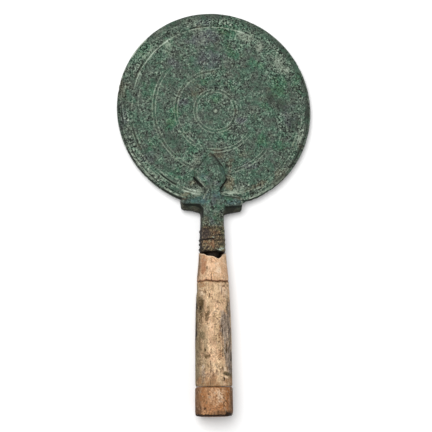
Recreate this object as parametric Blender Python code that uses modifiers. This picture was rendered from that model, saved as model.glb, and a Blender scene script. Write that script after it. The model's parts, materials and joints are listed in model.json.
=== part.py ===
"""Bronze hand mirror with a bone handle, lying on its polished face.

The mirror is drawn in a frame of its own: X across it, Y from the handle towards the disc,
Z out of its turned back, and z = 0 on the polished face.  An empty then lays it down, so
that the far edge of the disc and a small flat spot under the bone both touch the ground.
"""
import math

import bmesh
import bpy
from mathutils import Vector

MM = 0.001
GAP = 0.3 * MM                      # clear gap between pieces that touch

# Disc
DISC_RADIUS = 70 * MM
DISC_WEB = 2.4 * MM                 # thickness inside the rim
RIM_RISE = 0.7 * MM                 # height of the rim above the web
RIM_START = 0.915 * DISC_RADIUS
RIM_CREST = 0.935 * DISC_RADIUS
EDGE_CHAMFER = 0.5 * MM
RING_RADII = [share * DISC_RADIUS for share in (0.213, 0.41, 0.638, 0.876)]
RING_WIDTH = 2.2 * MM
RING_DEPTH = 0.5 * MM
RING_CENTRE = (0.4 * MM, -1.0 * MM) # the rings were turned a little off centre
PUNCH_RADIUS = 1.3 * MM
DISC_STEPS = 112

# Fitting
LEAF_LEVELS = [(2.4, 0.0), (3.6, 0.0), (5.3, 1.9)]      # height, and how far the edge is bevelled in
CROSSBAR_LEVELS = [                 # height, drop of the arms' lower edge, top of the stalk, bevel
    (-2.6, 3.2, -59.4, 0.6), (-2.0, 3.2, -59.4, 0.0), (0.6, 3.6, -59.4, 0.0), (2.6, 3.6, -52.0, 0.0),
    (4.0, 3.2, -52.6, 0.0), (5.6, 1.0, -55.0, 0.0), (6.5, 0.0, -57.0, 0.1), (7.2, 0.0, -58.6, 0.8)]
AXIS_X = -2.9 * MM                  # the handle sits a little left of the disc's middle
AXIS_Z = 2.3 * MM
SHANK_START = 66 * MM               # distances down the handle from the disc's centre
SHANK_END = 102.9 * MM
SHANK_WIDTH = (16.0 * MM, 18.8 * MM)
SHANK_DEPTH = (9.4 * MM, 17.0 * MM)
SHANK_SQUARENESS = (6.0, 2.2)       # exponents of the section's superellipse
SHANK_SWELL = (79 * MM, 98 * MM)    # where it grows from flat to round
RIBS = [distance * MM for distance in (87.8, 94.0, 97.5, 101.0)]
RIB_HEIGHT = 0.55 * MM
RIB_WIDTH = 1.0 * MM
TANG_RADII = (4.6 * MM, 2.8 * MM)
TANG_END = 205 * MM

# Bone handle: outer radius against distance down the handle
COLLAR_OUTLINE = [(103, 9.8), (108, 10.0), (114, 10.5), (120, 11.15), (122.6, 11.2), (123.2, 10.9)]
GRIP_OUTLINE = [(123.5, 11.0), (124.2, 11.4), (130, 11.7), (136, 12.0), (146, 12.4), (157, 12.8),
                (178, 13.05), (192, 13.1), (195.2, 13.1), (196.2, 12.6)]
END_OUTLINE = [(196.5, 12.6), (197.6, 13.3), (206, 13.35), (214, 13.3), (215.6, 13.1), (216.4, 12.5),
               (217.0, 9.0)]
HANDLE_END = 217.2 * MM
BORE_RADII = {"bone_collar": 6.4 * MM, "bone_grip": 5.6 * MM, "bone_end": 4.0 * MM}
BORE_END = 210 * MM
BROKEN_EDGE = [(-12, 103.8), (-7, 104.1), (-5.6, 105.2), (-1, 105.7), (1, 106.3), (2.8, 107.3),
               (4.6, 106.4), (6.6, 104.3), (12, 104.6)]
WHOLE_EDGE = 103.4
BONE_STEPS = 48
FLAT_DEPTH = 0.35 * MM              # how far the flat spot cuts into the bone

ARC_STEPS = 4
MIN_RADIUS = 0.15                   # millimetres


def clear_scene():
    """Remove whatever the scene holds."""
    for obj in list(bpy.data.objects):
        bpy.data.objects.remove(obj, do_unlink=True)


def collection(name):
    """A new collection in the scene."""
    group = bpy.data.collections.new(name)
    bpy.context.scene.collection.children.link(group)
    return group


def material(name, color, roughness, metallic):
    """A plain Principled material."""
    result = bpy.data.materials.new(name)
    result.use_nodes = True
    shader = result.node_tree.nodes["Principled BSDF"]
    shader.inputs["Base Color"].default_value = (*color, 1.0)
    shader.inputs["Roughness"].default_value = roughness
    shader.inputs["Metallic"].default_value = metallic
    result.diffuse_color = (*color, 1.0)
    return result


def add_object(name, mesh, group, parent):
    """Put a mesh in the scene as an object."""
    obj = bpy.data.objects.new(name, mesh)
    group.objects.link(obj)
    obj.parent = parent
    return obj


def blend(start, end, share):
    """A smooth step from start to end as share goes from 0 to 1."""
    share = min(max(share, 0.0), 1.0)
    return start + (end - start) * share * share * (3 - 2 * share)


def turned(name, profile, steps, group, parent, closed=True):
    """A turned piece: an outline of (radius, height) points swept around Z."""
    edges = [(i, i + 1) for i in range(len(profile) - 1)]
    if closed:
        edges.append((len(profile) - 1, 0))
    mesh = bpy.data.meshes.new(name)
    mesh.from_pydata([(radius, 0.0, height) for radius, height in profile], edges, [])
    obj = add_object(name, mesh, group, parent)
    screw = obj.modifiers.new("turn", "SCREW")
    screw.axis = "Z"
    screw.steps = steps
    screw.render_steps = steps
    screw.use_merge_vertices = True
    screw.merge_threshold = 0.00001
    return obj


def inset_corners(corners, margin):
    """Move every side of a counter-clockwise outline of corners inwards."""
    moved = []
    for i, (x, y, radius) in enumerate(corners):
        corner = Vector((x, y))
        before = (Vector(corners[i - 1][:2]) - corner).normalized()
        after = (Vector(corners[(i + 1) % len(corners)][:2]) - corner).normalized()
        hollow = after.cross(before) < 0
        side = -1 if hollow else 1
        shift = side * margin / math.sin(before.angle(after) / 2)
        corner += (before + after).normalized() * shift
        moved.append((*corner, max(radius - side * margin, MIN_RADIUS)))
    return moved


def rounded_outline(corners, margin=0.0):
    """A closed outline from (x, y, radius) corners in millimetres, each rounded by an arc."""
    points = []
    corners = inset_corners(corners, margin)
    for i, (x, y, radius) in enumerate(corners):
        corner = Vector((x, y))
        before = (Vector(corners[i - 1][:2]) - corner).normalized()
        after = (Vector(corners[(i + 1) % len(corners)][:2]) - corner).normalized()
        opening = before.angle(after)
        centre = corner + (before + after).normalized() * radius / math.sin(opening / 2)
        start = corner + before * radius / math.tan(opening / 2) - centre
        end = corner + after * radius / math.tan(opening / 2) - centre
        sweep = math.pi - opening
        for step in range(ARC_STEPS + 1):
            share = step / ARC_STEPS
            spoke = start * math.sin((1 - share) * sweep) + end * math.sin(share * sweep)
            points.append((centre + spoke / math.sin(sweep)) * MM)
    return points


def loft(name, sections, group, parent):
    """A solid through closed sections that all have the same number of points."""
    mesh = bpy.data.meshes.new(name)
    body = bmesh.new()
    rings = [[body.verts.new(point) for point in section] for section in sections]
    for lower, upper in zip(rings, rings[1:]):
        for i in range(len(lower)):
            j = (i + 1) % len(lower)
            body.faces.new((lower[i], lower[j], upper[j], upper[i]))
    body.faces.new(reversed(rings[0]))
    body.faces.new(rings[-1])
    bmesh.ops.recalc_face_normals(body, faces=body.faces)
    body.to_mesh(mesh)
    body.free()
    return add_object(name, mesh, group, parent)


def combine(obj, other, operation):
    """Cut another solid out of this one, or join it on."""
    boolean = obj.modifiers.new(other.name, "BOOLEAN")
    boolean.operation = operation
    boolean.solver = "EXACT"
    boolean.object = other
    other.hide_render = True
    other.display_type = "WIRE"


# --- The disc -------------------------------------------------------------------------------

def disc_profile():
    """Half the disc's section, from the middle of the back, over the rim, to the face."""
    crest = DISC_WEB + RIM_RISE
    return [(0.0, DISC_WEB), (RIM_START, DISC_WEB), (RIM_CREST, crest),
            (DISC_RADIUS - EDGE_CHAMFER, crest), (DISC_RADIUS, crest - EDGE_CHAMFER),
            (DISC_RADIUS, EDGE_CHAMFER), (DISC_RADIUS - EDGE_CHAMFER, 0.0), (0.0, 0.0)]


def make_disc(group, cutters, rest):
    """The turned disc, with four ring grooves and the turner's centre mark."""
    disc = turned("disc", disc_profile(), DISC_STEPS, group, rest, closed=False)
    above = DISC_WEB + GAP
    floor = DISC_WEB - RING_DEPTH
    for number, radius in enumerate(RING_RADII, start=1):
        half = RING_WIDTH / 2
        section = [(radius + half, above), (radius + half, DISC_WEB), (radius, floor),
                   (radius - half, DISC_WEB), (radius - half, above)]
        groove = turned(f"ring_groove_{number}", section, DISC_STEPS, cutters, rest)
        groove.location = (*RING_CENTRE, 0.0)
        combine(disc, groove, "DIFFERENCE")
    section = [(0.0, above), (PUNCH_RADIUS, above), (PUNCH_RADIUS, DISC_WEB), (0.0, floor)]
    punch = turned("centre_punch", section, 16, cutters, rest, closed=False)
    punch.location = (*RING_CENTRE, 0.0)
    combine(disc, punch, "DIFFERENCE")
    return disc


def make_disc_clearance(cutters, rest):
    """The space that the disc needs inside the fitting's slot."""
    reach = DISC_RADIUS + GAP
    crest = DISC_WEB + RIM_RISE + GAP
    section = [(0.0, DISC_WEB + GAP), (RIM_START - GAP, DISC_WEB + GAP), (RIM_CREST - GAP, crest),
               (reach, crest), (reach, -GAP), (0.0, -GAP)]
    return turned("disc_clearance", section, DISC_STEPS, cutters, rest, closed=False)


# --- The fitting ----------------------------------------------------------------------------

def leaf_outline(margin):
    """The leaf, tip first: it leans a little to the left of its stalk."""
    return rounded_outline([(-3.6, -30.9, 0.7), (-11.6, -41.2, 2.0), (-15.0, -43.2, 1.2),
                            (-16.5, -50.9, 1.4), (-7.3, -57.0, 1.2), (-7.3, -62.0, 0.5),
                            (2.2, -62.0, 0.5), (2.2, -56.4, 1.2), (7.3, -50.7, 1.2),
                            (6.1, -43.4, 4.0)], margin)


def crossbar_outline(drop, stalk_top, margin):
    """The crossbar seen from the back, with the start of the stalk and of the shank.

    drop is how much further down the arms reach than they do on the face.
    """
    return rounded_outline([(2.2, stalk_top, 0.4), (-7.3, stalk_top, 0.4), (-8.0, -61.8, 1.4),
                            (-25.2, -64.7, 1.6), (-24.6, -68.4 - 1.25 * drop, 1.6),
                            (-10.6, -68.5 - 1.35 * drop, 5.5 - drop), (-10.6, -78.5, 0.4),
                            (4.8, -78.5, 0.4), (5.0, -69.3 - 1.6 * drop, 2.0),
                            (18.4, -69.0 - 1.2 * drop, 1.6), (19.2, -62.6, 1.8),
                            (3.4, -61.4, 1.4)], margin)


def make_leaf(group, rest):
    """The leaf-shaped tongue, with a bevelled edge."""
    sections = [[(*point, height * MM) for point in leaf_outline(bevel)] for height, bevel in LEAF_LEVELS]
    return loft("leaf", sections, group, rest)


def make_crossbar(group, rest):
    """The crossbar, whose underside slopes back from its face."""
    sections = []
    for height, drop, stalk_top, bevel in CROSSBAR_LEVELS:
        outline = crossbar_outline(drop, stalk_top, bevel)
        sections.append([(*point, height * MM) for point in outline])
    return loft("crossbar", sections, group, rest)


def shank_section(distance):
    """The shank's outline at a distance down the handle: a superellipse, swollen at a rib."""
    share = (distance - SHANK_SWELL[0]) / (SHANK_SWELL[1] - SHANK_SWELL[0])
    swell = sum(RIB_HEIGHT * math.exp(-((distance - rib) / RIB_WIDTH) ** 2) for rib in RIBS)
    half_width = blend(*SHANK_WIDTH, share) / 2 + swell
    half_depth = blend(*SHANK_DEPTH, share) / 2 + swell
    power = 2 / blend(*SHANK_SQUARENESS, share)
    points = []
    for step in range(24):
        turn = math.tau * (step + 0.5) / 24
        across = math.copysign(abs(math.cos(turn)) ** power, math.cos(turn))
        outward = math.copysign(abs(math.sin(turn)) ** power, math.sin(turn))
        points.append((AXIS_X + half_width * across, -distance, AXIS_Z + half_depth * outward))
    return points


def make_shank(group, rest):
    """The shank, from inside the crossbar down to the ribbed, rounded end."""
    distances = [SHANK_START, SHANK_SWELL[0]]
    distances += [rib + offset * RIB_WIDTH for rib in RIBS for offset in (-1.7, -0.7, 0.0, 0.7, 1.7)]
    distances += [83 * MM, SHANK_END]
    return loft("fitting", [shank_section(distance) for distance in sorted(set(distances))], group, rest)


def make_tang(group, rest):
    """The tang that carries the bone sections."""
    mesh = bpy.data.meshes.new("tang")
    body = bmesh.new()
    length = TANG_END - SHANK_END + 4 * MM
    bmesh.ops.create_cone(body, cap_ends=True, segments=8, radius1=TANG_RADII[1],
                          radius2=TANG_RADII[0], depth=length)
    body.to_mesh(mesh)
    body.free()
    tang = add_object("tang", mesh, group, rest)
    tang.location = (AXIS_X, -(TANG_END - length / 2), AXIS_Z)
    tang.rotation_euler.x = math.radians(-90)
    return tang


def make_fitting(group, cutters, rest):
    """The leaf, crossbar, shank and tang joined as one casting, and slotted for the disc."""
    fitting = make_shank(group, rest)
    for piece in (make_crossbar(cutters, rest), make_leaf(cutters, rest), make_tang(cutters, rest)):
        combine(fitting, piece, "UNION")
    combine(fitting, make_disc_clearance(cutters, rest), "DIFFERENCE")
    return fitting


# --- The bone handle ------------------------------------------------------------------------

def make_bone(name, outline, group, rest):
    """One turned section of bone, bored for the tang; the last section's bore is blind."""
    outer = [(radius * MM, -distance * MM) for distance, radius in outline]
    bore = BORE_RADII[name]
    if name == "bone_end":
        inner = [(0.0, -HANDLE_END), (0.0, -BORE_END), (bore, -BORE_END + bore / 2), (bore, outer[0][1])]
    else:
        inner = [(bore, outer[-1][1]), (bore, outer[0][1])]
    bone = turned(name, outer + inner, BONE_STEPS, group, rest)
    bone.location = (AXIS_X, 0.0, AXIS_Z)
    bone.rotation_euler.x = math.radians(-90)
    return bone


def make_break_cutter(cutters, rest):
    """What is missing from the top of the bone: its front wall is broken lower than its back."""
    above = 98.0
    sections = []
    for height, share in ((-15, 0), (0, 0), (5, 1), (15, 1)):
        edge = [(x, blend(WHOLE_EDGE, distance, share)) for x, distance in BROKEN_EDGE]
        outline = edge + [(edge[-1][0], above), (edge[0][0], above)]
        sections.append([(x * MM, -distance * MM, height * MM) for x, distance in outline])
    cutter = loft("broken_away", sections, cutters, rest)
    cutter.location = (AXIS_X, 0.0, AXIS_Z)
    return cutter


def make_ground_cutter(cutters):
    """A block under the ground, which cuts the flat spot into the bone."""
    bpy.ops.mesh.primitive_cube_add(size=1.0)
    block = bpy.context.object
    block.name = "ground"
    for group in block.users_collection:
        group.objects.unlink(block)
    cutters.objects.link(block)
    block.scale = (0.1, 0.3, 0.01)
    block.location = (0.0, 0.0, -0.005)
    return block


# --- Laying it down -------------------------------------------------------------------------

def resting_tilt():
    """The slope at which the disc's far edge and the bone's underside both touch the ground."""
    pivot = DISC_RADIUS - EDGE_CHAMFER
    outline = COLLAR_OUTLINE + GRIP_OUTLINE + END_OUTLINE
    touching = max(math.atan2(radius * MM - AXIS_Z, pivot + distance * MM) for distance, radius in outline)
    return touching - FLAT_DEPTH / (pivot + 140 * MM)


def make_rest():
    """The empty that lays the mirror down, with the middle of its outline over the origin."""
    tilt = resting_tilt()
    rest = bpy.data.objects.new("lying_mirror", None)
    bpy.context.scene.collection.objects.link(rest)
    rest.rotation_euler.x = -tilt
    middle = (DISC_RADIUS - HANDLE_END) / 2
    rest.location.y = -middle * math.cos(tilt) - AXIS_Z * math.sin(tilt)
    rest.location.z = (DISC_RADIUS - EDGE_CHAMFER) * math.sin(tilt)
    return rest


def settle(obj, finish):
    """Turn the modifiers' result into the object's own mesh, and give it its material."""
    graph = bpy.context.evaluated_depsgraph_get()
    mesh = bpy.data.meshes.new_from_object(obj.evaluated_get(graph))
    mesh.name = obj.name
    mesh.materials.clear()
    mesh.materials.append(finish)
    mesh.shade_smooth()
    mesh.set_sharp_from_angle(angle=math.radians(35))
    obj.modifiers.clear()
    obj.data = mesh


def main():
    clear_scene()
    parts = collection("hand_mirror")
    cutters = collection("hand_mirror_cutters")
    patina = material("green_patina", (0.13, 0.17, 0.13), 0.75, 0.2)
    bronze = material("dark_bronze", (0.11, 0.14, 0.11), 0.7, 0.25)
    bones = {"bone_collar": (COLLAR_OUTLINE, material("pale_bone", (0.62, 0.42, 0.27), 0.6, 0.0)),
             "bone_grip": (GRIP_OUTLINE, material("old_bone", (0.48, 0.34, 0.22), 0.55, 0.0)),
             "bone_end": (END_OUTLINE, material("brown_bone", (0.37, 0.21, 0.1), 0.55, 0.0))}
    rest = make_rest()
    finishes = {make_disc(parts, cutters, rest): patina,
                make_fitting(parts, cutters, rest): bronze}
    ground = make_ground_cutter(cutters)
    for name, (outline, finish) in bones.items():
        bone = make_bone(name, outline, parts, rest)
        combine(bone, ground, "DIFFERENCE")
        if name == "bone_collar":
            combine(bone, make_break_cutter(cutters, rest), "DIFFERENCE")
        finishes[bone] = finish
    bpy.context.view_layer.update()
    for obj, finish in finishes.items():
        settle(obj, finish)


main()
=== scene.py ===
"""Bronze hand mirror with a bone handle: the visual model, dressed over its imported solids.

Every shape is worked out in millimetres in the mirror's own frame (X across it, Y from the
handle towards the disc, Z out of its turned back, z = 0 on the polished face), and is laid
down with the solids by the mount on the polished face.
"""
import json
import math

import bmesh
import bpy
import numpy as np
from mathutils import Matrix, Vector


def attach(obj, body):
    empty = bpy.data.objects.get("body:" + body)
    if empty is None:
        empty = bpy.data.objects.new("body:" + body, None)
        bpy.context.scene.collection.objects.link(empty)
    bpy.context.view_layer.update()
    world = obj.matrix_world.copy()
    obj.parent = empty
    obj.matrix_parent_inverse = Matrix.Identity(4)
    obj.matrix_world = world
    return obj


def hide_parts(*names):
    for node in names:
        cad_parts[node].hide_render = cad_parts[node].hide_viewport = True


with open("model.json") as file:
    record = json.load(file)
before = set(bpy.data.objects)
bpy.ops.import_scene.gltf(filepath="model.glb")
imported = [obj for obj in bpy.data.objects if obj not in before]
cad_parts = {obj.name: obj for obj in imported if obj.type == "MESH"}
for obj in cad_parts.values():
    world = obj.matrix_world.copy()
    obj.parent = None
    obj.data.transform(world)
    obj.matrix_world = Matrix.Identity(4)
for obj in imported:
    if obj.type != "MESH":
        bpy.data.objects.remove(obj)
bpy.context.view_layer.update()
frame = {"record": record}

MM = 0.001
GAP = 0.3                           # clear gap between pieces that touch

# Disc
DISC_RADIUS = 70.0
DISC_WEB = 2.4                      # its thickness inside the rim
RIM_HEIGHT = 3.1
RIM_START, RIM_CREST = 64.05, 65.45
# radius and height round the rim's edge, from the back to the face
RIM_EDGE = [(69.45, 3.1), (69.75, 2.98), (69.93, 2.75), (70, 2.45), (70, 1.9), (70, 1.3), (70, 0.75),
            (69.92, 0.4), (69.72, 0.14), (69.4, 0), (68.8, 0), (67.6, 0), (65.6, 0)]
RIM_LINES = [(66.9, 0.55), (68.3, 0.4)]      # radius, strength
# Radius and centre of each ring, how much of it is left all round, and where more of it is left:
# (middle and half of a sector in degrees, inner lip, outer lip, groove)
RINGS = [
    (14.65, 0.4, -1.0, 0.75, [(65, 40, 0.1, 0.1, 0.4), (315, 20, 0.2, 0.2, 0.5)]),
    (28.75, 0.6, -1.0, 0.3, [(292, 32, 0.8, 0.8, 1.0), (222, 14, 0.6, 0.6, 0.5), (120, 32, 0.5, 0.4, 0.4),
                             (174, 30, 0.4, 0.4, 0.5), (78, 22, 0.2, 0.2, 0.3)]),
    (45.0, 1.1, -0.5, 0.2, [(195, 55, 0.75, 0.75, 0.75), (305, 17, 0.8, 0.8, 0.8),
                            (110, 15, 0.3, 0.3, 0.2)]),
    (61.6, 1.0, -0.4, 0.15, [(115, 48, 1.0, 0.1, 0.3), (148, 16, 0.1, 0.1, 0.5), (205, 11, 0.4, 0.3, 0.9),
                             (240, 14, 0.6, 0.8, 0.9), (320, 22, 0.4, 0.3, 0.5), (180, 22, 0.3, 0.3, 0.2)])]
RING_CENTRE = np.array([0.4, -1.0])  # the rings were turned a little off centre
RING_DEPTH, LIP_HEIGHT, RIM_LINE_DEPTH = 0.3, 0.12, 0.18
ROW_GAP, FINE_GAP, FACE_GAP = 0.56, 0.28, 2.4
STEPS_AROUND, FEWER_STEPS_BELOW = 640, 34

# Fitting
LEAF_CORNERS = [(-3.6, -30.9, 0.7), (-11.6, -41.2, 2.0), (-15.4, -43.5, 1.2), (-15.3, -49.2, 1.0),
                (-7.3, -57.3, 1.2), (-7.3, -62.0, 0.5), (2.2, -62.0, 0.5), (2.8, -56.8, 1.2),
                (7.4, -50.5, 1.2), (6.1, -43.4, 4.0)]
LEAF_LEVELS = [(2.0, 0.0), (3.5, 0.0), (3.9, 0.15), (5.0, 1.5), (5.3, 2.0)]    # height, bevel
CROSSBAR_LEVELS = [                 # height, drop of the lower edge, top of the stalk, slope, bevel
    (-2.6, 3.2, -59.4, 0.0, 0.9), (-2.3, 3.3, -59.4, 0.0, 0.3), (-1.7, 3.4, -59.4, 0.0, 0.0),
    (0.6, 3.6, -59.4, 0.0, 0.0), (2.2, 3.5, -52.0, 0.0, 0.0), (3.1, 3.2, -52.0, 0.0, 0.0),
    (3.7, 2.6, -52.2, 0.0, 0.0), (4.0, 1.4, -52.6, 0.1, 0.0), (4.4, 0.6, -53.0, 0.3, 0.0),
    (5.4, 0.3, -54.6, 1.2, 0.0), (6.3, 0.0, -56.6, 2.1, 0.0), (6.8, 0.0, -57.6, 2.6, 0.15),
    (7.1, 0.0, -58.3, 2.9, 0.4), (7.2, 0.0, -58.9, 3.0, 0.9)]
AXIS_X, AXIS_Z = -2.9, 2.3          # the handle's axis
SHANK_START, SHANK_END, SHANK_ROW = 66.0, 102.9, 0.41
SHANK_WIDTH, SHANK_DEPTH = (16.0, 18.0), (9.4, 17.0)
SHANK_SQUARENESS = (6.0, 2.2)
SHANK_SWELL = (79.0, 98.0)
RIBS = [(87.6, 0.6), (93.9, 0.7), (97.0, 0.6), (100.7, 0.95)]    # distance, width
RIB_HEIGHT = (0.75, 0.3)            # at the left and the right side
TANG_RADII, TANG_END = (4.6, 2.8), 205.0
BRONZE_GRAIN = 0.34                 # size of the facets of the cast pieces

# Bone: outer radius against distance down the handle, and the radius of the bore
BONES = {
    "bone_collar": ([(103, 9.8), (108, 10.0), (114, 10.5), (120, 11.15), (122.6, 11.2), (123.2, 10.9)], 6.4),
    "bone_grip": ([(123.5, 11.0), (124.2, 11.4), (130, 11.7), (136, 12.0), (146, 12.4), (157, 12.8),
                   (178, 13.05), (192, 13.1), (195.2, 13.1), (196.2, 12.6)], 5.6),
    "bone_end": ([(196.5, 12.6), (197.6, 13.3), (206, 13.35), (214, 13.3), (215.6, 13.1), (216.4, 12.5),
                  (217.0, 9.0), (217.2, 0.0)], 4.0)}
COLLAR_TOP, COLLAR_JOINT, END_JOINT, END_FACE = 103, 123.35, 196.35, 216.2
BORE_END = 210.0
BROKEN_EDGE = [(-12, 103.8), (-7, 104.1), (-5.6, 105.2), (-1, 106.0), (1, 106.9), (2.8, 107.5),
               (4.6, 106.4), (6.6, 104.3), (12, 104.6)]          # across, distance
BROKEN_REACH = 112                  # how far down the break pulls the collar's rows
WHOLE_EDGE = 102.95
BONE_ROW, BORE_ROW, BONE_STEPS = 0.42, 2.0, 184
GRAIN_DEPTH, GRAIN_WIDTH, GRAIN_LENGTH = 0.14, 1.6, 14.0

# Studio
FLOOR_REACH = 6.0                   # metres
SKY_STRENGTH, LAMP_POWER, LAMP_SIZE, LAMP_PLACE = 0.56, 9.8, 0.7, (-0.35, 0.19, 1.0)
CAMERA_PLACE = (-0.17571428, -0.08540715, 0.99003673)
CAMERA_TURN = (4.760991, -10.136584, -0.191082)
SENSOR, LENS = 36.0, 117.994


# --- The mirror's frame ----------------------------------------------------------------------

def mirror_axes():
    """The origin and the three axes of the mirror's own frame, in metres."""
    face = next(mount for mount in frame["record"]["mounts"] if mount["name"] == "polished_face")
    outward = -np.array(face["axis"], float)
    outward /= np.linalg.norm(outward)
    across = np.array([1.0, 0.0, 0.0])
    return np.array(face["pos_m"]), np.stack([across, np.cross(outward, across), outward])


ORIGIN, AXES = mirror_axes()


def lay_down(points):
    """From millimetres on the mirror to metres on the ground."""
    return ORIGIN + points * MM @ AXES


# --- Numbers over a surface ------------------------------------------------------------------

TWIST = np.array([[0.73, 0.55, -0.41], [-0.35, 0.81, 0.47], [0.59, -0.2, 0.78]])


def smooth(value, low, high):
    """0 below low, 1 above high, and a soft step between them."""
    share = np.clip((value - low) / (high - low), 0, 1)
    return share * share * (3 - 2 * share)


def lattice(x, y, z, seed):
    """A repeatable number from -1 to 1 for each point of a grid."""
    mixed = x * 73856093 ^ y * 19349663 ^ z * 83492791 ^ seed * 2654435761
    mixed = (mixed ^ mixed >> 13) * 1274126177 & 0xFFFFFFFF
    mixed = (mixed ^ mixed >> 16) * 668265263 & 0xFFFFFFFF
    return (mixed >> 8 & 0xFFFF) / 32767.5 - 1


def lumps(points, size, seed):
    """Smooth lumps from -1 to 1, about as far apart as their size."""
    place = points @ TWIST / size
    low = np.floor(place).astype(np.int64)
    share = place - low
    share = share * share * (3 - 2 * share)
    total = np.zeros(len(points))
    for corner in range(8):
        step = np.array([corner & 1, corner >> 1 & 1, corner >> 2])
        weight = np.prod(np.where(step, share, 1 - share), axis=1)
        total += weight * lattice(*(low + step).T, seed)
    return total


def rough(points, size, seed, layers=3):
    """Layers of lumps, each half as large and half as high as the last."""
    return sum(lumps(points, size / 2 ** layer, seed + 31 * layer) / 2 ** layer for layer in range(layers))


def spots(across, along, places, soft=1.0):
    """How strongly soft-edged spots cover each point.

    A spot is (across, along, half width, half length, strength), and its turn in degrees if it has one.
    """
    total = np.zeros(len(across))
    for x, y, half_x, half_y, strength, *turn in places:
        turn = math.radians(turn[0] if turn else 0)
        c, s = math.cos(turn), math.sin(turn)
        u = (c * (across - x) + s * (along - y)) / half_x
        v = (c * (along - y) - s * (across - x)) / half_y
        total += strength * (1 - smooth(np.hypot(u, v), 1 - 0.8 * soft, 1 + 0.4 * soft))
    return np.clip(total, 0, 1)


def near_path(x, y, path):
    """The distance to a path, and how far along it the nearest point is, from 0 to 1."""
    least, along = np.full(len(x), 1e9), np.zeros(len(x))
    for i, ((ax, ay), (bx, by)) in enumerate(zip(path, path[1:])):
        length = math.hypot(bx - ax, by - ay)
        share = np.clip(((x - ax) * (bx - ax) + (y - ay) * (by - ay)) / length ** 2, 0, 1)
        distance = np.hypot(x - ax - share * (bx - ax), y - ay - share * (by - ay))
        along = np.where(distance < least, (i + share) / (len(path) - 1), along)
        least = np.minimum(distance, least)
    return least, along


def strokes(x, y, lines, near, far):
    """How strongly drawn lines cover each point: each is (strength, path), and fades from near to far."""
    cover = np.zeros(len(x))
    for strength, path in lines:
        cover = np.maximum(cover, strength * (1 - smooth(near_path(x, y, path)[0], near, far)))
    return cover


# --- Meshes ----------------------------------------------------------------------------------

def coordinates(mesh, name="co"):
    """The vertices' places or normals as an array."""
    values = np.empty(len(mesh.vertices) * 3)
    mesh.vertices.foreach_get(name, values)
    return values.reshape(-1, 3)


def move_to(mesh, points):
    """Give the vertices new places."""
    mesh.vertices.foreach_set("co", points.astype(np.float32).ravel())
    mesh.update()


def keep_marks(mesh, points, **marks):
    """Keep each vertex's place on the mirror and its numbers from 0 to 1, for the finish to read."""
    layer = mesh.attributes.new("place", "FLOAT_VECTOR", "POINT")
    layer.data.foreach_set("vector", points.astype(np.float32).ravel())
    for name, values in marks.items():
        layer = mesh.attributes.new(name, "FLOAT", "POINT")
        layer.data.foreach_set("value", np.clip(values, 0, 1).astype(np.float32))


def add_object(name, data):
    """Put a mesh, a lamp or a camera in the scene as an object."""
    made = bpy.data.objects.new(name, data)
    bpy.context.scene.collection.objects.link(made)
    return made


def finish_piece(name, mesh, finish, node):
    """Make a worked mesh a piece that stands for a node of the frame."""
    mesh.name = name
    mesh.shade_smooth()
    mesh.materials.clear()
    mesh.materials.append(finish)
    piece = add_object(name, mesh)
    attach(piece, "root")
    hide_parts(node)


def evaluated(worker):
    """An object's mesh after its modifiers, as a plain mesh. The object is removed."""
    bpy.context.view_layer.update()
    result = bpy.data.meshes.new_from_object(worker.evaluated_get(bpy.context.evaluated_depsgraph_get()))
    worker.modifiers.clear()
    bpy.data.objects.remove(worker)
    return result


def through_modifier(mesh, kind, settings):
    """The mesh after one of Blender's modifiers."""
    worker = add_object("worker", mesh)
    modifier = worker.modifiers.new("work", kind)
    for key, value in settings.items():
        setattr(modifier, key, value)
    return evaluated(worker)


def mesh_of(body, name):
    """The mesh of a bmesh, with its faces turned outwards. The bmesh is freed."""
    bmesh.ops.recalc_face_normals(body, faces=body.faces)
    mesh = bpy.data.meshes.new(name)
    body.to_mesh(mesh)
    body.free()
    return mesh


def neighbour_mean(mesh, values):
    """The mean of each vertex's neighbours."""
    ends = np.empty(len(mesh.edges) * 2, np.int64)
    mesh.edges.foreach_get("vertices", ends)
    a, b = ends.reshape(-1, 2).T
    count = np.bincount(a, minlength=len(values)) + np.bincount(b, minlength=len(values))
    columns = []
    for column in values.reshape(len(values), -1).T:
        total = np.bincount(a, column[b], len(values)) + np.bincount(b, column[a], len(values))
        columns.append(total / np.maximum(count, 1))
    return np.stack(columns, 1).reshape(values.shape)


def sharpness(mesh, passes=2):
    """Positive on outer edges, negative in crevices."""
    points, normals = coordinates(mesh), coordinates(mesh, "normal")
    bulge = np.sum((points - neighbour_mean(mesh, points)) * normals, axis=1)
    for _ in range(passes):
        bulge = (bulge + neighbour_mean(mesh, bulge)) / 2
    return bulge


# --- Finishes --------------------------------------------------------------------------------

def paint(red, green, blue):
    """A colour from the usual 0 to 255 numbers."""
    def linear(value):
        share = value / 255
        return share / 12.92 if share <= 0.04045 else ((share + 0.055) / 1.055) ** 2.4
    return (linear(red), linear(green), linear(blue), 1.0)


def add_node(tree, kind, settings=None, sockets=None):
    """Add a node to a tree, set its settings, and then give each socket its number or its link."""
    made = tree.nodes.new(kind)
    for key, value in (settings or {}).items():
        setattr(made, key, value)
    for key, value in (sockets or {}).items():
        if isinstance(value, bpy.types.NodeSocket):
            tree.links.new(value, made.inputs[key])
        else:
            made.inputs[key].default_value = value
    return made


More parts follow.
